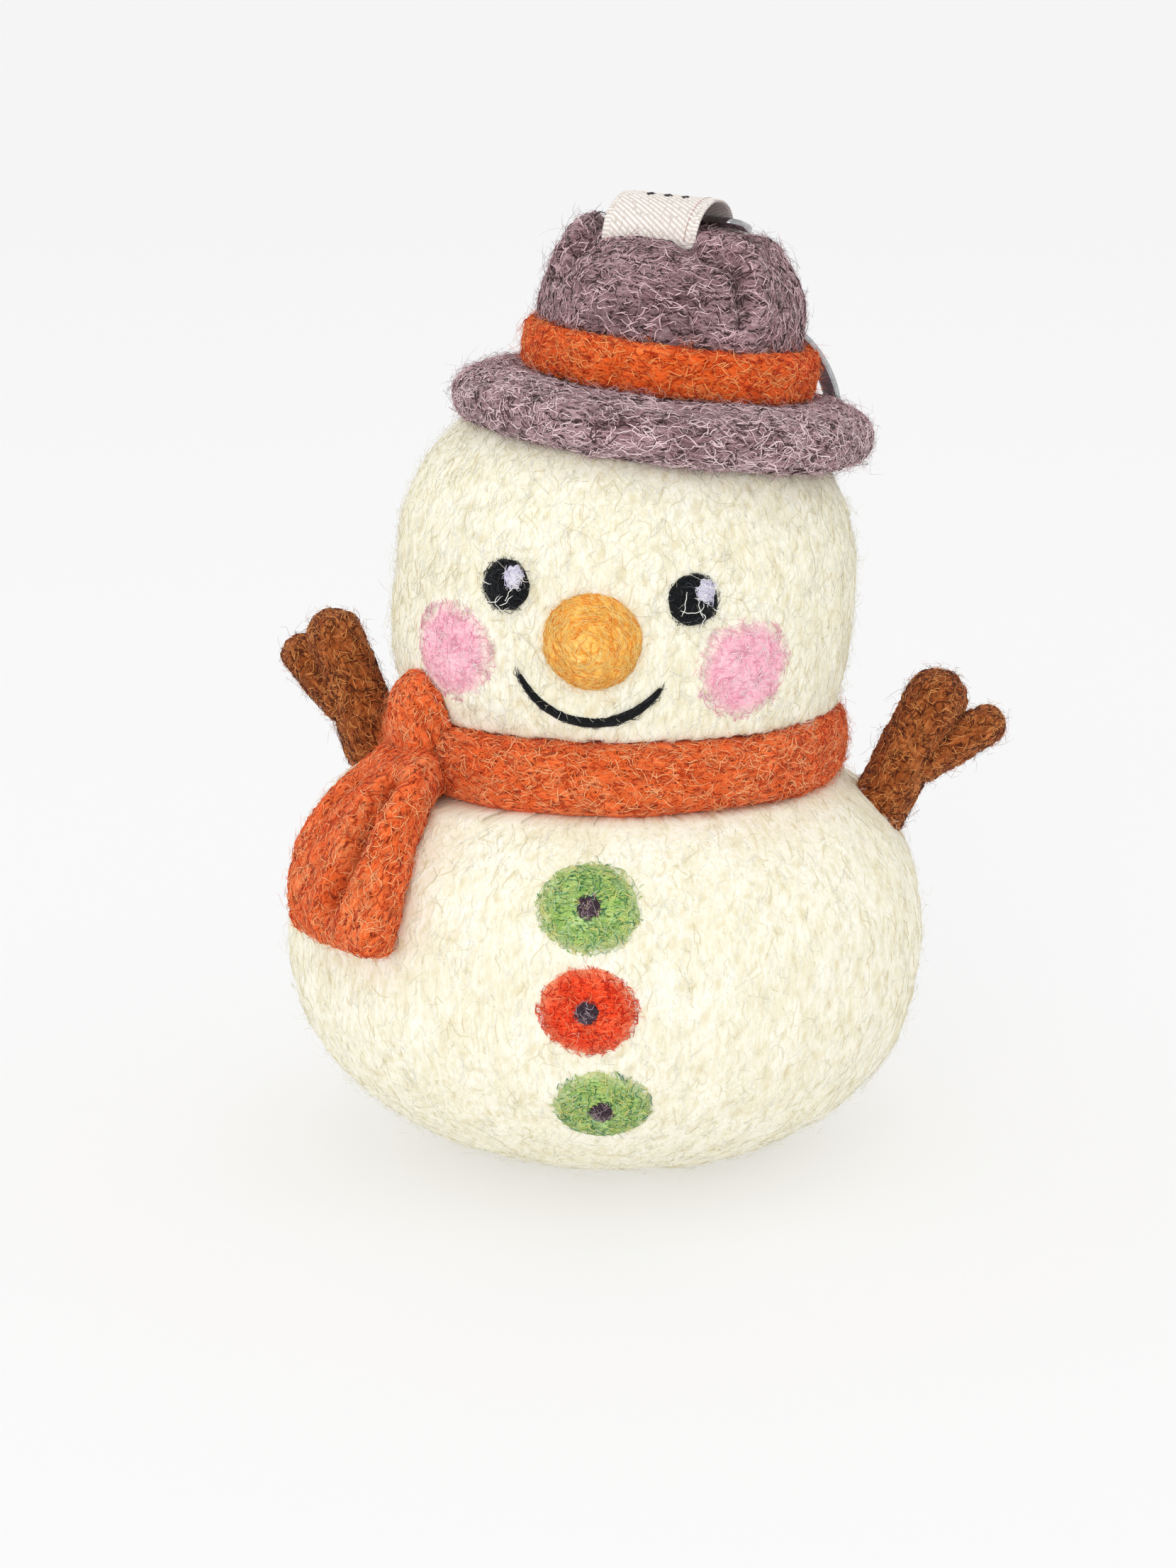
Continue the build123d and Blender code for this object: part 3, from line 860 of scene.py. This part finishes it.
arm_lines = {
    "left_arm": ((-23.5, 2, 38.5), (-29.5, 2, 54.7), 1500),
    "left_arm_twig": ((-28.3, 2, 47.6), (-33.0, 2, 52.6), 700),
    "right_arm": ((27.8, 2, 34.0), (35.4, 2, 49.2), 1500),
    "right_arm_twig": ((34.0, 2, 42.6), (40.6, 2, 46.5), 700),
}
for number, (node, (start, end, count)) in enumerate(arm_lines.items()):
    stick_wool(node, start, end, 0.26, 0.16, brown, 31 + number, count, 0.75, shape=fuller)

# ---- face and buttons ----


def felt_dome(name, node, ball, place, half, thickness, wool, seed, count,
              base=0.0, soft=0.0, wobble=0.06, swirl=0.8, fullness=4.0, **fibre_values):
    """An oval tuft of felt needled onto a ball: domed, uneven at its edge and closed underneath."""
    rng = np.random.default_rng(seed)
    origin, across, upward, normal = ball.seat(*place)
    rings, spokes = 26, 96
    ring = np.linspace(0, 1, rings + 1)[1:]
    angle = np.linspace(0, 2 * math.pi, spokes, endpoint=False)
    edge = 1 + wobble * noise(np.stack([np.cos(angle) * 2, np.sin(angle) * 2, 0 * angle + seed], 1), seed)
    share = np.repeat(ring, spokes)
    u = share * np.tile(np.cos(angle) * edge, rings) * half[0]
    v = share * np.tile(np.sin(angle) * edge, rings) * half[1]
    share = np.concatenate([[0], share])
    u = np.concatenate([[0], u])
    v = np.concatenate([[0], v])
    flat = origin + u[:, None] * across + v[:, None] * upward
    seat = ball.on_surface(flat)
    out = ball.normals(seat)
    grain = np.stack([u, v, 0 * u], 1) * 1.6
    relief, hollow_shade = wool_relief(seat * 2.2, grain * 1.6, 0.08, 0.06, 0.12, seed)
    profile = np.maximum(1 - share**fullness, 0) ** 0.5
    height = base + thickness * profile + relief * (1 - share**6) - 0.12 * share**8
    top = seat + out * height[:, None]
    under = seat[1:][-spokes:] - out[-spokes:] * 0.6
    middle_under = seat[:1] - out[:1] * 0.6
    points = np.concatenate([top, under, middle_under])
    first_under = len(top)
    k = np.arange(spokes)
    after = (k + 1) % spokes
    centre, quads = fan_quads(rings, spokes)
    last = 1 + (rings - 1) * spokes
    quads.append(np.stack([last + k, first_under + k, first_under + after, last + after], 1))
    bottom = np.stack([0 * k + len(points) - 1, first_under + after, first_under + k], 1)
    spare = len(points) - len(top)
    # Painted shade in the relief's pits, and full painted shade on the hidden underside.
    attributes = {
        "grain": np.concatenate([grain, np.zeros((spare, 3))]),
        "hollow_shade": np.concatenate([hollow_shade * 0.8, np.ones(spare)]),
        "rim": np.concatenate([smoothstep(0.72, 1.0, share) * soft, np.ones(spare) * soft]),
    }
    piece = make_mesh(name, points, [np.concatenate(quads), centre, bottom], attributes)
    piece.data.materials.append(wool.felt)
    finish(piece, wool.slot, node)
    reach = np.sqrt(rng.uniform(0, 1, count)) * (1.0 + 0.12 * soft)
    turn = rng.uniform(0, 2 * math.pi, count)
    roots = origin + (reach * np.cos(turn) * half[0])[:, None] * across
    roots = ball.on_surface(roots + (reach * np.sin(turn) * half[1])[:, None] * upward)
    normals = ball.normals(roots)
    low = np.maximum(1 - reach**fullness, 0) ** 0.5
    roots = roots + normals * (base + thickness * low)[:, None]
    outward = unit(roots - origin - normal * thickness)
    normals = unit(normals + (0.7 * reach**4 * thickness)[:, None] * outward)
    spin = unit(np.cross(normals, roots - origin + 1e-6))
    way = spin * (1 - swirl) + swirl * swirl_field(roots, 1.6, seed)
    way = level(way, normals, 1e-6)
    values = dict(length=(0.7, 1.8), width=(0.05, 0.10), lift=0.10, turn=35, curl=0.5, bend=20,
                  stray=0.08, stray_length=0.5)
    values.update(fibre_values)
    made = fibres(name + "_fibres", roots, normals, way, wool.fibres, rng, **values)
    finish(made, wool.slot)


eyes = {"left_eye": (-24.2, 3.9), "right_eye": (21.4, 4.4)}
for number, (node, (turn, rise)) in enumerate(eyes.items()):
    felt_dome(node + "_felt", node, head_ball, (turn, rise), (2.6, 2.6), 0.75, black, 41 + number, 150,
              fullness=3.0, swirl=0.4)
    felt_dome(node + "_glint_felt", node + "_glint", head_ball, (turn + 2.4, rise + 0.9), (1.0, 1.15),
              0.25, glint, 43 + number, 60, base=0.62, wobble=0.3, length=(0.5, 1.2),
              width=(0.05, 0.09), stray=0.0, curl=0.8)

cheeks = {"left_cheek": (-39.5, -4.0), "right_cheek": (36.8, -2.6)}
for number, (node, place) in enumerate(cheeks.items()):
    felt_dome(node + "_felt", node, head_ball, place, (5.3, 4.9), 0.42, pink, 51 + number, 520,
              soft=1.0, wobble=0.12, swirl=0.9, fullness=2.6)

buttons = {
    "button_top": (2.3, 10.9, 5.0, 4.6, green),
    "button_middle": (3.2, 1.0, 4.8, 4.4, red),
    "button_bottom": (6.5, -9.4, 4.8, 4.2, green),
}
for number, (node, (turn, rise, wide, high, wool)) in enumerate(buttons.items()):
    felt_dome(node + "_felt", node, body_ball, (turn, rise), (wide, high), 0.75, wool, 61 + number, 560,
              soft=0.6, wobble=0.10, swirl=0.75, fullness=3.0)
    felt_dome(node + "_dot_felt", node + "_dot", body_ball, (turn, rise), (1.2, 1.2), 0.28, dot,
              64 + number, 60, base=0.68, wobble=0.2, stray=0.0, length=(0.5, 1.2))

nose_seat, _, _, nose_out = head_ball.seat(-1.6, -0.5)
nose_middle = nose_seat - nose_out * 1.7


def nose_wool_piece():
    """A domed ball of felt whose fibres run round it."""
    rng = np.random.default_rng(71)
    points, quads = voxel_skin("nose", 0.18, 2)
    normals = surface_normals(points, quads)
    angle, out, rise = turned_frame(points, nose_middle, nose_out)
    grain = np.stack([angle * 3, rise * 1.6, out * 1.6], 1) + 1.4 * noise(points / 2.5, 73)[:, None]
    height, hollow_shade = wool_relief(points * 1.6, grain * 1.3, 0.12, 0.06, 0.14, 71)
    points = points + normals * (height + 0.25)[:, None]
    felt_mesh("nose_felt_ball", points, [quads], {"grain": grain, "hollow_shade": hollow_shade}, yellow, "nose")
    normals = surface_normals(points, quads)
    outside = (head_ball.grown(points) > 1.0).astype(float)
    fuzz("nose", points, quads, outside, 420, yellow, rng, 5, 0.5)
    chosen, roots = scatter(points, quads, 900, rng, outside)
    normals = unit(normals[quads[chosen]].mean(1))
    way = round_about(roots, nose_middle, nose_out)
    way = unit(way + 0.7 * swirl_field(roots, 1.5, 72))
    way = level(way, normals)
    made = fibres("nose_fibres", roots, normals, way, yellow.fibres, rng, (0.8, 2.0), (0.05, 0.10),
                  lift=0.10, turn=20, curl=0.3, bend=4.5, stray=0.06, stray_length=0.5)
    finish(made, yellow.slot)


nose_wool_piece()


def smile_line(count):
    """Points along the smile on the face: an arc through its two ends and its lowest point."""
    ends = np.array(((-6.03, 55.87), (0.9, 51.25), (8.13, 54.82)))
    (x1, z1), (x2, z2), (x3, z3) = ends
    lines = np.array(((x2 - x1, z2 - z1), (x3 - x1, z3 - z1))) * 2
    sums = np.array((x2**2 - x1**2 + z2**2 - z1**2, x3**2 - x1**2 + z3**2 - z1**2))
    middle = np.linalg.solve(lines, sums)
    radius = np.hypot(x1 - middle[0], z1 - middle[1])
    first = math.atan2(z1 - middle[1], x1 - middle[0])
    last = math.atan2(z3 - middle[1], x3 - middle[0])
    first = first if first < 0 else first - 2 * math.pi
    angle = np.linspace(first, last, count)
    x, z = middle[0] + radius * np.cos(angle), middle[1] + radius * np.sin(angle)
    start = np.stack([x, 0 * x - 21.0, z], 1)
    for _ in range(12):
        start[:, 1] /= head_ball.grown(np.stack([x, start[:, 1], z], 1)) ** 1.2
    return start


def smile():
    """A thin needled line, fullest in the middle and fine at its ends."""
    rng = np.random.default_rng(75)
    count, around = 160, 14
    line = smile_line(count)
    out = head_ball.normals(line)
    along = unit(np.gradient(line, axis=0))
    side = np.cross(out, along)
    share = np.linspace(0, 1, count)
    taper = (1 - np.abs(2 * share - 1) ** 3.0) ** 0.6 * 0.8 + 0.2
    wide = 0.52 * taper * (1 + 0.14 * noise(np.stack([share * 22, 0 * share, 0 * share], 1), 5))
    angle = np.linspace(0, 2 * math.pi, around, endpoint=False)
    ring = (line[:, None, :]
            + (np.cos(angle) * wide[:, None])[..., None] * side[:, None, :]
            + (np.sin(angle) * (0.28 + 0.2 * taper)[:, None])[..., None] * out[:, None, :])
    points = ring.reshape(-1, 3)
    points = points + out.repeat(around, 0) * (0.05 * noise(points * 2.0, 6))[:, None]
    row = np.arange(count - 1)[:, None] * around
    k = np.arange(around)[None, :]
    after = (k + 1) % around
    quads = np.stack([row + k, row + after, row + around + after, row + around + k], -1)
    ends = np.stack([np.arange(around)[::-1], (count - 1) * around + np.arange(around)])
    grain = np.stack([np.repeat(share * 16, around), np.tile(np.cos(angle), count),
                      np.tile(np.sin(angle), count)], 1)
    felt_mesh("smile_felt", points, [quads.reshape(-1, 4), ends],
              {"grain": grain, "hollow_shade": np.zeros(len(points))}, black, "mouth")
    pick = rng.integers(0, count, 130)
    roots = line[pick] + side[pick] * (rng.uniform(-0.75, 0.75, 130) * wide[pick])[:, None]
    roots = roots + out[pick] * 0.28
    made = fibres("smile_fibres", roots, out[pick], along[pick], black.fibres, rng, (0.8, 2.2),
                  (0.05, 0.1), lift=0.08, turn=12, curl=0.2, bend=24, stray=0.05, stray_length=0.4)
    finish(made, black.slot)


smile()

# ---- tape loop: a folded strip of woven twill, needled into the top of the hat ----

tape_half_width, tape_half_thick = 5.0, 0.2
loop_half_depth, loop_middle_rise, tape_foot = 6.5, 4.3, 2.0
loop_turn = math.radians(14)
loop_origin = np.array((6.781, -0.6, 97.618))
crown_side = unit(np.cross(BACK, crown_up))
loop_across = crown_side * math.cos(loop_turn) - BACK * math.sin(loop_turn)
loop_back = np.cross(crown_up, loop_across)
ribs_per_mm = 2.1


def tape_line(count):
    """The tape's middle line from its front foot to its back foot, as (back, up), evenly spaced."""
    angle = np.linspace(math.pi, 0, 200)
    arch = np.stack([loop_half_depth * np.cos(angle), loop_middle_rise * np.sin(angle)], 1)
    front = np.array([(-loop_half_depth, -tape_foot)])
    back = np.array([(loop_half_depth, -tape_foot)])
    rough = np.concatenate([front, arch, back])
    length = np.concatenate([[0], np.cumsum(np.linalg.norm(np.diff(rough, axis=0), axis=1))])
    even = np.linspace(0, length[-1], count)
    return np.stack([np.interp(even, length, rough[:, k]) for k in (0, 1)], 1), length[-1]


def tape_point(line, slope, across, out):
    """A point of the tape from its line, its outward slope, and offsets across and out of it."""
    flat = line + slope * out[..., None]
    return (loop_origin + across[..., None] * loop_across
            + flat[..., :1] * loop_back + flat[..., 1:] * crown_up)


def tape_loop():
    """The woven tape, with diagonal ribs on both faces and a firmer selvedge at each edge."""
    rows, columns = 250, 112
    line, length = tape_line(rows)
    run = unit(np.gradient(line, axis=0))
    slope = np.stack([-run[:, 1], run[:, 0]], 1)
    across = np.linspace(-tape_half_width, tape_half_width, columns)
    along = np.linspace(0, length, rows)
    a, b = np.meshgrid(along, across, indexing="ij")
    edge = tape_half_width - np.abs(b)
    twill = 0.5 + 0.5 * np.sin(2 * math.pi * ribs_per_mm * (a * 0.8 + b * 0.6))
    selvedge = 0.5 + 0.5 * np.sin(2 * math.pi * ribs_per_mm * 1.1 * a)
    in_selvedge = smoothstep(0.8, 0.6, edge)
    weave = twill * (1 - in_selvedge) + selvedge * in_selvedge
    wave = 0.10 * noise(np.stack([a / 4, b / 5, 0 * a], -1).reshape(-1, 3), 81).reshape(a.shape)
    wave = wave * np.sin(math.pi * a / length)
    thick = tape_half_thick * np.minimum(1, 0.45 + edge / 0.3) - 0.05 * (1 - weave)
    faces, sheets = [], []
    for face in (1, -1):
        shift = wave + face * thick
        sheets.append(tape_point(line[:, None, :], slope[:, None, :], b, shift).reshape(-1, 3))
        row, column = np.meshgrid(np.arange(rows - 1), np.arange(columns - 1), indexing="ij")
        first = (row * columns + column).ravel() + (0 if face == 1 else rows * columns)
        corners = np.stack([first, first + 1, first + columns + 1, first + columns], 1)
        faces.append(corners if face == -1 else corners[:, ::-1])
    size = rows * columns
    left = np.arange(rows - 1) * columns
    right = left + columns - 1
    faces.append(np.stack([left, left + columns, left + columns + size, left + size], 1))
    faces.append(np.stack([right + columns, right, right + size, right + columns + size], 1))
    front = np.arange(columns - 1)
    back = front + (rows - 1) * columns
    faces.append(np.stack([front + 1, front, front + size, front + 1 + size], 1))
    faces.append(np.stack([back, back + 1, back + 1 + size, back + size], 1))
    grain = np.stack([a, b, 0 * a], -1).reshape(-1, 3)
    # Painted shade in the grooves between the ribs, in the tape's darker colour.
    attributes = {"grain": np.concatenate([grain, grain]), "hollow_shade": np.tile((1 - weave).ravel(), 2)}
    piece = make_mesh("tape_loop", np.concatenate(sheets), [np.concatenate(faces)], attributes)
    return piece, length, line, slope


tape_material = wool_material(
    "woven_tape", [(240, 233, 226), (250, 246, 242), (255, 253, 251)], (210, 198, 188), bump=0.00003)
tape, tape_length, tape_middle, tape_slope = tape_loop()
tape.data.materials.append(tape_material)
finish(tape, "tape", "ribbon_loop")


def tape_threads(name, material, runs, radius):
    """Threads on the outer face of the tape. runs are (along, across) ends in millimetres."""
    steps = np.linspace(0, 1, 9)
    rng = np.random.default_rng(85)
    total = np.linspace(0, tape_length, len(tape_middle))
    paths, outward = [], []
    for (a1, b1), (a2, b2) in runs:
        along = a1 + (a2 - a1) * steps
        across = b1 + (b2 - b1) * steps
        line = np.stack([np.interp(along, total, tape_middle[:, k]) for k in (0, 1)], 1)
        slope = np.stack([np.interp(along, total, tape_slope[:, k]) for k in (0, 1)], 1)
        height = tape_half_thick + radius * 0.3 - 1.6 * radius * (2 * steps - 1) ** 6
        paths.append(tape_point(line, slope, across, height))
        outward.append(slope[4, :1] * loop_back + slope[4, 1:] * crown_up)
    made = tubes(name, np.array(paths), np.full(len(paths), radius), np.array(outward),
                 [(material, 1.0)], rng)
    return finish(made, "tape")


fold = tape_length / 2
guide_stitches = [((start, 3.85), (start + 0.62, 3.85)) for start in np.arange(2.2, tape_length - 2.4, 0.7)]
guide_thread = tape_threads("tape_guide_thread", fibre_material("guide_thread", (206, 168, 160)),
                            guide_stitches, 0.06)
motif_stitches = []
for middle in (-1.9, 0.0, 1.9):
    for step in range(-3, 4):
        half = 0.62 * (1 - abs(step) / 3.6)
        along = fold - 1.5 + step * 0.17
        motif_stitches.append(((along, middle - half), (along + 0.05, middle + half)))
motif_thread = tape_threads("tape_motif_thread", fibre_material("motif_thread", (46, 40, 48)),
                            motif_stitches, 0.085)

# ---- stray hairs: long curly ones on the face, the eyes and the shoulders ----


def strewn(seed, count, turns, rises):
    """Random places for hairs 3 to 8 mm long, heading any way."""
    rng = np.random.default_rng(seed)
    ranges = (turns, rises, (0, 360), (3, 8))
    return list(zip(*(rng.uniform(low, high, count) for low, high in ranges)))


def long_hairs(name, ball, places, material, seed, base=0.12, radius=0.03):
    """Single long hairs that wander over a ball. places are (turn, rise, heading, length)."""
    rng = np.random.default_rng(seed)
    steps = 14
    paths, outward = [], []
    for turn, rise, heading, length in places:
        origin, across, upward, normal = ball.seat(turn, rise)
        heading = math.radians(heading) + np.cumsum(rng.normal(0, 0.35, steps))
        stride = length / steps
        u = np.cumsum(np.cos(heading)) * stride
        v = np.cumsum(np.sin(heading)) * stride
        seat = ball.on_surface(origin + u[:, None] * across + v[:, None] * upward)
        hop = base + 0.25 * np.abs(np.sin(np.linspace(0, math.pi * 1.7, steps)))
        hop[0] = hop[-1] = -0.05
        paths.append(seat + ball.normals(seat) * hop[:, None])
        outward.append(normal)
    made = tubes(name, np.array(paths), np.full(len(paths), radius), np.array(outward),
                 [(material, 1.0)], rng)
    finish(made, cream.slot)


pale_hair = cream.fibres[0][0]
long_hairs("eye_hairs", head_ball,
           [(-26.5, 3.8, 175, 2.4), (-28, 2.6, -60, 2.6), (-24, 3.0, -120, 2.8), (-20.5, 4.4, -80, 2.4),
            (-21.5, 5.4, 10, 1.8), (-20.8, 3.2, 200, 2.0), (17, 3.4, -30, 3.4), (19, 5.6, -100, 3.0),
            (24, 2.6, 170, 2.8), (23, 3.6, -95, 2.2), (24.4, 5.6, 0, 1.8), (25.4, 4.0, -60, 2.0)],
           pale_hair, 91, base=0.88, radius=0.045)
long_hairs("face_hairs", head_ball, strewn(92, 46, (-70, 70), (-10, 11)),
           fibre_material("dull_hair", (206, 194, 168)), 93, radius=0.02)
long_hairs("body_hairs", body_ball, strewn(94, 90, (-180, 180), (-17, 16)),
           fibre_material("body_hair", (224, 214, 186)), 95, radius=0.02)

# ---- metal: the CAD's own ring, links and D ring, in polished nickel ----


def nickel_material():
    """Polished nickel plate: faint marks of rubbing in its roughness, and painted dark and light
    reflections in its colour.
    """
    material, tree, shader = principled("polished_nickel", colour(172, 172, 174), 0.16, 0.0, 1.0)
    place = add_node(tree, "ShaderNodeTexCoord")
    rubs_and_reflections = noise_node(tree, place.outputs["Object"], (900.0, 900.0, 2600.0), 4.0)
    spread_out = add_node(tree, "ShaderNodeMapRange", To_Min=0.10, To_Max=0.26)
    tree.links.new(rubs_and_reflections, spread_out.inputs["Value"])
    tree.links.new(spread_out.outputs["Result"], shader.inputs["Roughness"])
    scratches = noise_node(tree, place.outputs["Object"], (4000.0, 700.0, 4000.0), 3.0)
    bump = add_node(tree, "ShaderNodeBump", Strength=0.15, Distance=0.00002)
    tree.links.new(scratches, bump.inputs["Height"])
    tree.links.new(bump.outputs["Normal"], shader.inputs["Normal"])
    # Painted reflections: the same noise runs the base colour from dark to light.
    painted_reflections = add_node(tree, "ShaderNodeValToRGB")
    painted_reflections.color_ramp.elements[0].color = colour(84, 84, 88)
    painted_reflections.color_ramp.elements[1].color = colour(204, 204, 206)
    tree.links.new(rubs_and_reflections, painted_reflections.inputs[0])
    tree.links.new(painted_reflections.outputs["Color"], shader.inputs["Base Color"])
    return material


nickel = nickel_material()
for node in ("d_ring", "chain_link_1", "chain_link_2", "chain_link_3", "split_ring"):
    for number in range(len(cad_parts[node].material_slots)):
        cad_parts[node].material_slots[number].material = nickel

# ---- studio: a white sweep, a bright even sky and two soft lamps ----


def sweep():
    """A pale floor that curves up all round, far from the figure."""
    floor_radius, curve = 1400.0, 900.0
    inner = np.linspace(0, floor_radius, 24)[1:]
    bend = np.linspace(0, math.radians(40), 12)[1:]
    radii = np.concatenate([inner, floor_radius + curve * np.sin(bend)])
    heights = np.concatenate([0 * inner, curve * (1 - np.cos(bend))])
    spokes = 96
    angle = np.linspace(0, 2 * math.pi, spokes, endpoint=False)
    ring = np.stack([np.outer(radii, np.cos(angle)), np.outer(radii, np.sin(angle)),
                     np.repeat(heights[:, None], spokes, 1)], -1).reshape(-1, 3)
    points = np.concatenate([[[0, 0, 0]], ring])
    k = np.arange(spokes)
    after = (k + 1) % spokes
    quads = np.concatenate([np.stack([1 + r * spokes + k, 1 + (r + 1) * spokes + k,
                                      1 + (r + 1) * spokes + after, 1 + r * spokes + after], 1)
                            for r in range(len(radii) - 1)])
    centre = np.stack([0 * k, 1 + k, 1 + after], 1)
    piece = make_mesh("studio_floor", points, [quads, centre])
    material, tree, shader = principled("studio_white", (0.53, 0.53, 0.533, 1.0), 0.9)
    shader.inputs["Emission Color"].default_value = (1.0, 1.0, 1.0, 1.0)
    shader.inputs["Emission Strength"].default_value = 0.40
    place = add_node(tree, "ShaderNodeTexCoord")
    cloth = noise_node(tree, place.outputs["Object"], (60.0, 60.0, 60.0), 2.0)
    bump = add_node(tree, "ShaderNodeBump", Strength=0.05, Distance=0.0002)
    tree.links.new(cloth, bump.inputs["Height"])
    tree.links.new(bump.outputs["Normal"], shader.inputs["Normal"])
    piece.data.materials.append(material)


sweep()


def soft_lamp(name, place, aim, size, watts):
    lamp = bpy.data.lights.new(name, "AREA")
    lamp.shape = "DISK"
    lamp.size = size
    lamp.energy = watts
    lamp_object = bpy.data.objects.new(name, lamp)
    lamp_object.location = place
    bpy.context.scene.collection.objects.link(lamp_object)
    way = np.array(aim) - np.array(place)
    flat = math.hypot(way[0], way[1])
    lamp_object.rotation_euler = (math.atan2(flat, -way[2]), 0.0, math.atan2(way[1], way[0]) - math.pi / 2)


world = bpy.data.worlds.new("sky")
world.use_nodes = True
world.node_tree.nodes["Background"].inputs["Color"].default_value = (1.0, 1.0, 1.0, 1.0)
world.node_tree.nodes["Background"].inputs["Strength"].default_value = 0.94
bpy.context.scene.world = world
soft_lamp("key_lamp", (-0.12, -1.0, 0.35), (0.0, 0.0, 0.05), 0.6, 2.1)
soft_lamp("fill_lamp", (0.1, -0.2, 1.1), (0.0, 0.0, 0.05), 0.7, 0.6)
